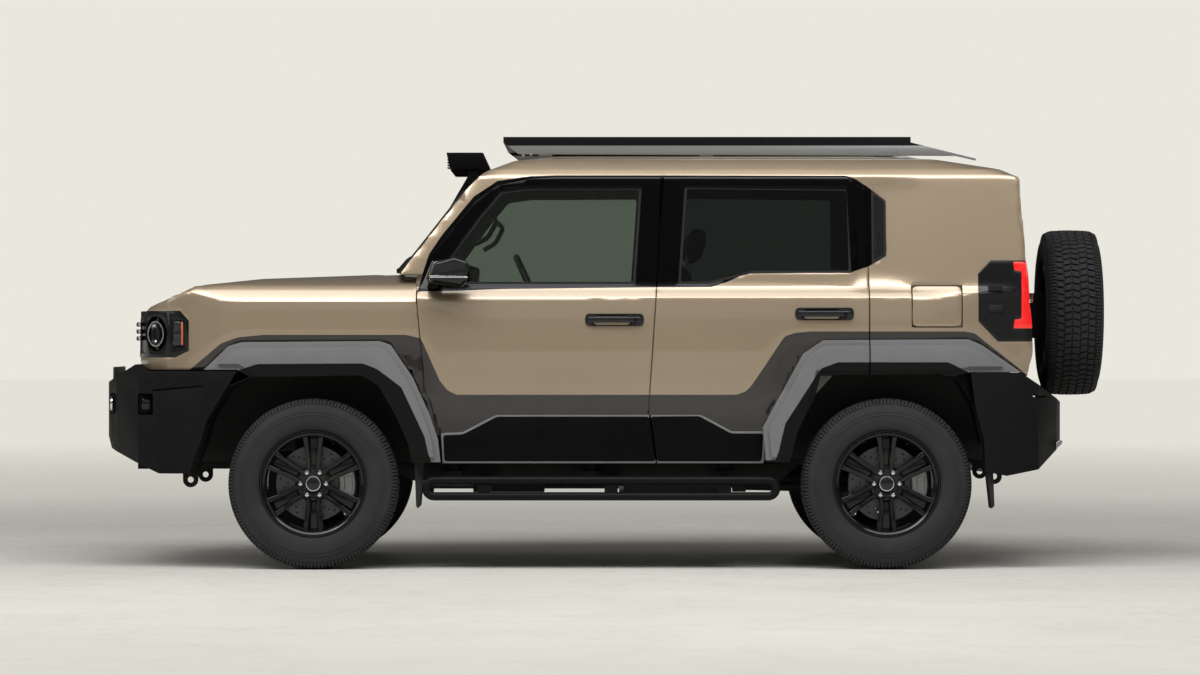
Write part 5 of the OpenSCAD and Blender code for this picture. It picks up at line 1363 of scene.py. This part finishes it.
print("cabin")
coated("dashboard", "cabin_plastic", cabinPlastic, width=0.012, segments=3)
column = {"at": (f(985), -0.370, 1.240), "tilt": radians(65), "radius": 0.0205, "narrower": 0.93}
toColumn = Matrix.Translation(column["at"]) @ Matrix.Rotation(column["tilt"], 4, "Y")
fromColumn = toColumn.inverted()
wheelCopy = cadCopy("steering_wheel", "steeringWheel")
for point in wheelCopy.data.vertices:  # the shaft runs free in its bore in the dashboard
    at = fromColumn @ point.co
    if at.z < 0 and at.xy.length < column["radius"]:
        point.co = toColumn @ Vector((at.x * column["narrower"], at.y * column["narrower"], at.z))
bevelled(wheelCopy, 0.003, 2, 35)
keep(shine(wheelCopy, 40), "steering", "cabin_plastic", "steering_wheel", finish=seatLeather)
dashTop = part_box("dashboard")[1].z
dashParts = []
for y, half in ((-0.37, 0.17), (0.0, 0.15)):
    dashParts.append(lump("screen", (f(868), y - half, dashTop - 0.115),
                          (f(884), y + half, dashTop + (0.005 if y else 0.035)), pianoBlack, 0.005, 2))
dashParts.append(lump("hood", (f(740), -0.56, dashTop - 0.05), (f(876), -0.18, dashTop + 0.018), cabinPlastic, 0.016,
                      3))
for y in (-0.58, -0.11, 0.11, 0.58):
    dashParts.append(lump("vent", (f(872), y - 0.042, dashTop - 0.165), (f(890), y + 0.042, dashTop - 0.125),
                          satinBlack, 0.005, 2))
bar = tube("bar", bend([(f(893), 0.26, dashTop - 0.10), (f(918), 0.27, dashTop - 0.10), (f(918), 0.54, dashTop - 0.10),
                        (f(893), 0.55, dashTop - 0.10)], 0.015), 0.012)
dashParts.append(lined(bar, seatLeather))
dashParts.append(lined(tube("lever",
                            bend([(f(1120), -0.02, sillHeight + 0.27), (f(1115), -0.02, sillHeight + 0.36),
                                  (f(1105), -0.02, sillHeight + 0.40)], 0.02), 0.011), polished))
dashParts.append(lump("knob", (f(1085), -0.045, sillHeight + 0.385), (f(1130), 0.005, sillHeight + 0.445), seatLeather,
                      0.018, 4))
dashParts.append(lump("armRest", (f(1270), -0.115, sillHeight + 0.265), (f(1495), 0.115, sillHeight + 0.335),
                      seatLeather, 0.022, 4))
keep(join("dashboardTrim", *dashParts), "chassis", "cabin_plastic")
grab = tube("grab",
            bend([(midX - 0.500, -0.715, 1.600), (midX - 0.466, -0.700, 1.572), (midX - 0.506, -0.712, 1.496),
                  (midX - 0.560, -0.742, 1.466)], 0.02), 0.011)
innerMirror = lump("innerMirror", (f(800), -0.125, 1.685), (f(822), 0.125, 1.745), cabinPlastic, 0.010, 3)
stalk = tube("stalk", [(f(770), 0, 1.775), (f(805), 0, 1.735)], 0.010)
lined(grab, cabinPlastic)
lined(stalk, cabinPlastic)
keep(join("cabinHandles", grab, mirrored(grab, "otherGrab"), innerMirror, stalk), "chassis", "cabin_plastic")

print("seats")
seatBase = sillHeight + 0.055
seatForm = {"voxel": 0.0135, "groove": 0.0065, "grooveWidth": 0.009, "limit": 0.010, "pressure": 4, "frames": 20}


def inflate(piece):  # lets air pressure round the pad, with a limit on each point's move
    before = np.array([p.co[:] for p in piece.data.vertices])
    only(piece)
    step = piece.modifiers.new("Cloth", "CLOTH")
    step.settings.use_pressure = True
    step.settings.uniform_pressure_force = seatForm["pressure"]
    step.settings.effector_weights.gravity = 0
    for k in range(1, seatForm["frames"] + 1):
        scene.frame_set(k)
    bpy.ops.object.modifier_apply(modifier=step.name)
    scene.frame_set(1)
    moves = np.array([p.co[:] for p in piece.data.vertices]) - before
    lengths = np.linalg.norm(moves, axis=1, keepdims=True)
    moves *= np.minimum(1, seatForm["limit"] / np.maximum(lengths, 1e-9))
    for point, at in zip(piece.data.vertices, before + moves):
        point.co = at


def pad(name, low, high, seams, sides, lean=0.0, pivot=(0, 0, 0), puff=0.010):  # sides: the axes it swells along
    piece = block(name, low, high)
    low, high = Vector(low), Vector(high)
    modify(piece, "BEVEL", width=min(high - low) * 0.30, segments=5, limit_method="NONE")
    modify(piece, "REMESH", mode="VOXEL", voxel_size=seatForm["voxel"])
    modify(piece, "SMOOTH", factor=0.5, iterations=4)
    centre, half = (low + high) / 2, (high - low) / 2
    for point in piece.data.vertices:
        u, v, w = ((point.co[i] - centre[i]) / half[i] for i in range(3))
        face, across, along = sides
        a, b, c = (u, v, w)[face], (u, v, w)[across], (u, v, w)[along]
        bolster = stepUp(abs(b), 0.55, 0.85) * puff * 2.2
        point.co[face] += (puff * (1 - b * b) * (1 - c * c) + bolster) * stepUp(a, 0.0, 0.9) - puff * 0.6
    inflate(piece)
    piece.data.update()
    for point in piece.data.vertices:
        near = min(abs(point.co[axis] - at) for axis, at in seams)
        point.co -= point.normal * seatForm["groove"] * np.exp(-(near / seatForm["grooveWidth"]) ** 2)
    modify(piece, "SUBSURF", levels=1, render_levels=1)
    turn = Matrix.Rotation(lean, 4, "Y")
    piece.data.transform(Matrix.Translation(pivot) @ turn @ Matrix.Translation([-c for c in pivot]))
    return shine(piece, 60)


def seatSet(stem, x, y, width, heads):
    z = seatBase
    half = width / 2
    alone = len(heads) == 1
    seams = (-half * 0.62, half * 0.62) if alone else (-0.19, 0.19, -half * 0.86, half * 0.86)
    lines = [(1, y + seam) for seam in seams]
    cushion = pad(stem + "Cushion", (x, y - half, z + 0.135), (x + 0.515, y + half, z + 0.298),
                  lines + [(0, x + 0.10), (0, x + 0.24), (0, x + 0.38)], (2, 1, 0))
    back = pad(stem + "Backrest", (x + 0.430, y - half + 0.012, z + 0.300), (x + 0.555, y + half - 0.012, z + 0.865),
               lines + [(2, z + 0.42), (2, z + 0.56), (2, z + 0.70)], (0, 1, 2), radians(17), (x + 0.49, 0, z + 0.31),
               -0.010)
    shells, made = [], [cushion, back]
    for k, head in enumerate(heads):
        rest = pad(stem + "Headrest%d" % (k + 1), (x + 0.675, y + head - 0.12, z + 0.865),
                   (x + 0.755, y + head + 0.12, z + 1.008), [(1, y + head - 0.07), (1, y + head + 0.07)], (0, 1, 2),
                   radians(12), (x + 0.70, 0, z + 0.87), -0.006)
        made.append(rest)
        for dy in (-0.05, 0.05):
            ends = [(x + 0.685, y + head + dy, z + 0.83), (x + 0.705, y + head + dy, z + 0.90)]
            shells.append(lined(tube("post", ends, 0.006), polished))
    shells.append(lump("plinth", (x + 0.06, y - half + 0.04, z), (x + 0.46, y + half - 0.04, z + 0.135), cabinPlastic,
                       0.006, 2))
    near, far = (0.235, 0.256) if alone else (0, 0.001)
    shells.append(lump("buckle", (x + 0.40, y + near, z + 0.25), (x + 0.43, y + far, z + 0.36), satinBlack, 0.002, 1))
    return made, join(stem + "Frame", *shells)


driver, driverFrame = seatSet("driver", f(1000), -0.390, 0.480, [0.0])
bench, benchFrame = seatSet("bench", r(-790), 0.0, 1.080, [-0.35, 0.35])
passenger = [mirrored(piece, piece.name.replace("driver", "passenger")) for piece in driver]
passengerFrame = mirrored(driverFrame, "passengerFrame")
for piece in driver + passenger + bench:
    keep(piece, "chassis", "seat_leather", "seats", finish=seatLeather)
for piece in (driverFrame, passengerFrame, benchFrame):
    keep(piece, "chassis", "cabin_plastic")


# Studio

studio = {"cameraAt": (midX, -22.0, 1.043), "lens": 141.0, "wall": paintColor(234, 232, 222),
          "floor": paintColor(214, 212, 203),
          "aim": Vector((0, 0, 0.9)), "worldStrength": 0.13}


def floorFinish():
    finish = Finish("paleFloor")
    x, y = finish.axes()[:2]
    speckle = finish.noise(3.0, 6.0, 0.65)
    stain = finish.noise(0.35, 3.0, 0.6)
    veins = finish.ramp(abs(finish.noise(0.9, 6.0, 0.7) - 0.5), (0.0, 1.0), (0.012, 0.0))
    tone = finish.mix(finish.ramp(stain, (0.35, 0.0), (0.7, 1.0)), studio["floor"], paintColor(226, 224, 216))
    tone = finish.mix(finish.ramp(speckle, (0.45, 0.0), (0.75, 0.35)), tone, paintColor(198, 195, 187))
    tone = finish.mix(veins * 0.25, tone, paintColor(150, 146, 138))
    radius = finish.sum("SQRT", x * x + y * y)
    # painted light: from 3 m out the floor's colour fades to black while a glow of its own grows in, full at 25 m. It
    # stands in for studio light on the far floor
    far = finish.ramp((radius - 3) / 22, (0.0, 0.0), (0.30, 0.60), (1.0, 1.0))
    return finish.set(Base_Color=finish.mix(far, tone, (0, 0, 0)), Roughness=0.34 + speckle * 0.25,
                      Emission_Color=finish.mix(far, (0, 0, 0), paintColor(224, 222, 212)),
                      Emission_Strength=1.0).material


def buildStudio():
    bpy.ops.object.select_all(action="DESELECT")
    bpy.ops.mesh.primitive_plane_add(size=190, location=(0, 0, 0))
    floor = settle(named("studioFloor"))
    floor.data.materials.append(floorFinish())
    world = bpy.data.worlds.new("studioWorld")
    scene.world = world
    world.use_nodes = True
    tree = world.node_tree
    back, out = tree.nodes["Background"], tree.nodes["World Output"]
    back.inputs[0].default_value = (*paintColor(236, 234, 230), 1)
    back.inputs[1].default_value = studio["worldStrength"]
    seen = tree.nodes.new("ShaderNodeBackground")
    seen.inputs[0].default_value = (*studio["wall"], 1)
    seen.inputs[1].default_value = 1.0
    ray = tree.nodes.new("ShaderNodeLightPath")
    either = tree.nodes.new("ShaderNodeMath")
    either.operation = "MAXIMUM"
    blend = tree.nodes.new("ShaderNodeMixShader")
    tree.links.new(ray.outputs["Is Camera Ray"], either.inputs[0])
    tree.links.new(ray.outputs["Is Transmission Ray"], either.inputs[1])
    tree.links.new(either.outputs[0], blend.inputs[0])
    tree.links.new(back.outputs[0], blend.inputs[1])
    tree.links.new(seen.outputs[0], blend.inputs[2])
    tree.links.new(blend.outputs[0], out.inputs[0])
    lamps = {  # name: place, size, watts
        "overheadLight": ((-0.3, -5.0, 8.0), (12.0, 4.0), 640),
        "sideLight": ((-1.5, -8.5, 9.5), (18.0, 3.0), 960),
        "fillLight": ((0.0, -25.0, 5.0), (26.0, 5.0), 200),
        "frontLight": ((-9.0, -2.5, 4.5), (4.0, 4.0), 110),
        "rearLight": ((8.5, -3.0, 5.5), (4.0, 4.0), 80),
    }
    for name, (at, size, watts) in lamps.items():
        lamp = bpy.data.lights.new(name, "AREA")
        lamp.shape = "RECTANGLE"
        lamp.size, lamp.size_y, lamp.energy = size[0], size[1], watts
        holder = bpy.data.objects.new(name, lamp)
        scene.collection.objects.link(holder)
        holder.location = at
        holder.rotation_euler = (studio["aim"] - Vector(at)).to_track_quat("-Z", "Y").to_euler()
    camera = bpy.data.cameras.new("viewCamera")
    camera.lens = studio["lens"]
    camera.clip_end = 200
    holder = bpy.data.objects.new("viewCamera", camera)
    scene.collection.objects.link(holder)
    holder.location = studio["cameraAt"]
    holder.rotation_euler = (pi / 2, 0, 0)
    scene.camera = holder
    scene.view_settings.view_transform = "Standard"


print("studio")
buildStudio()
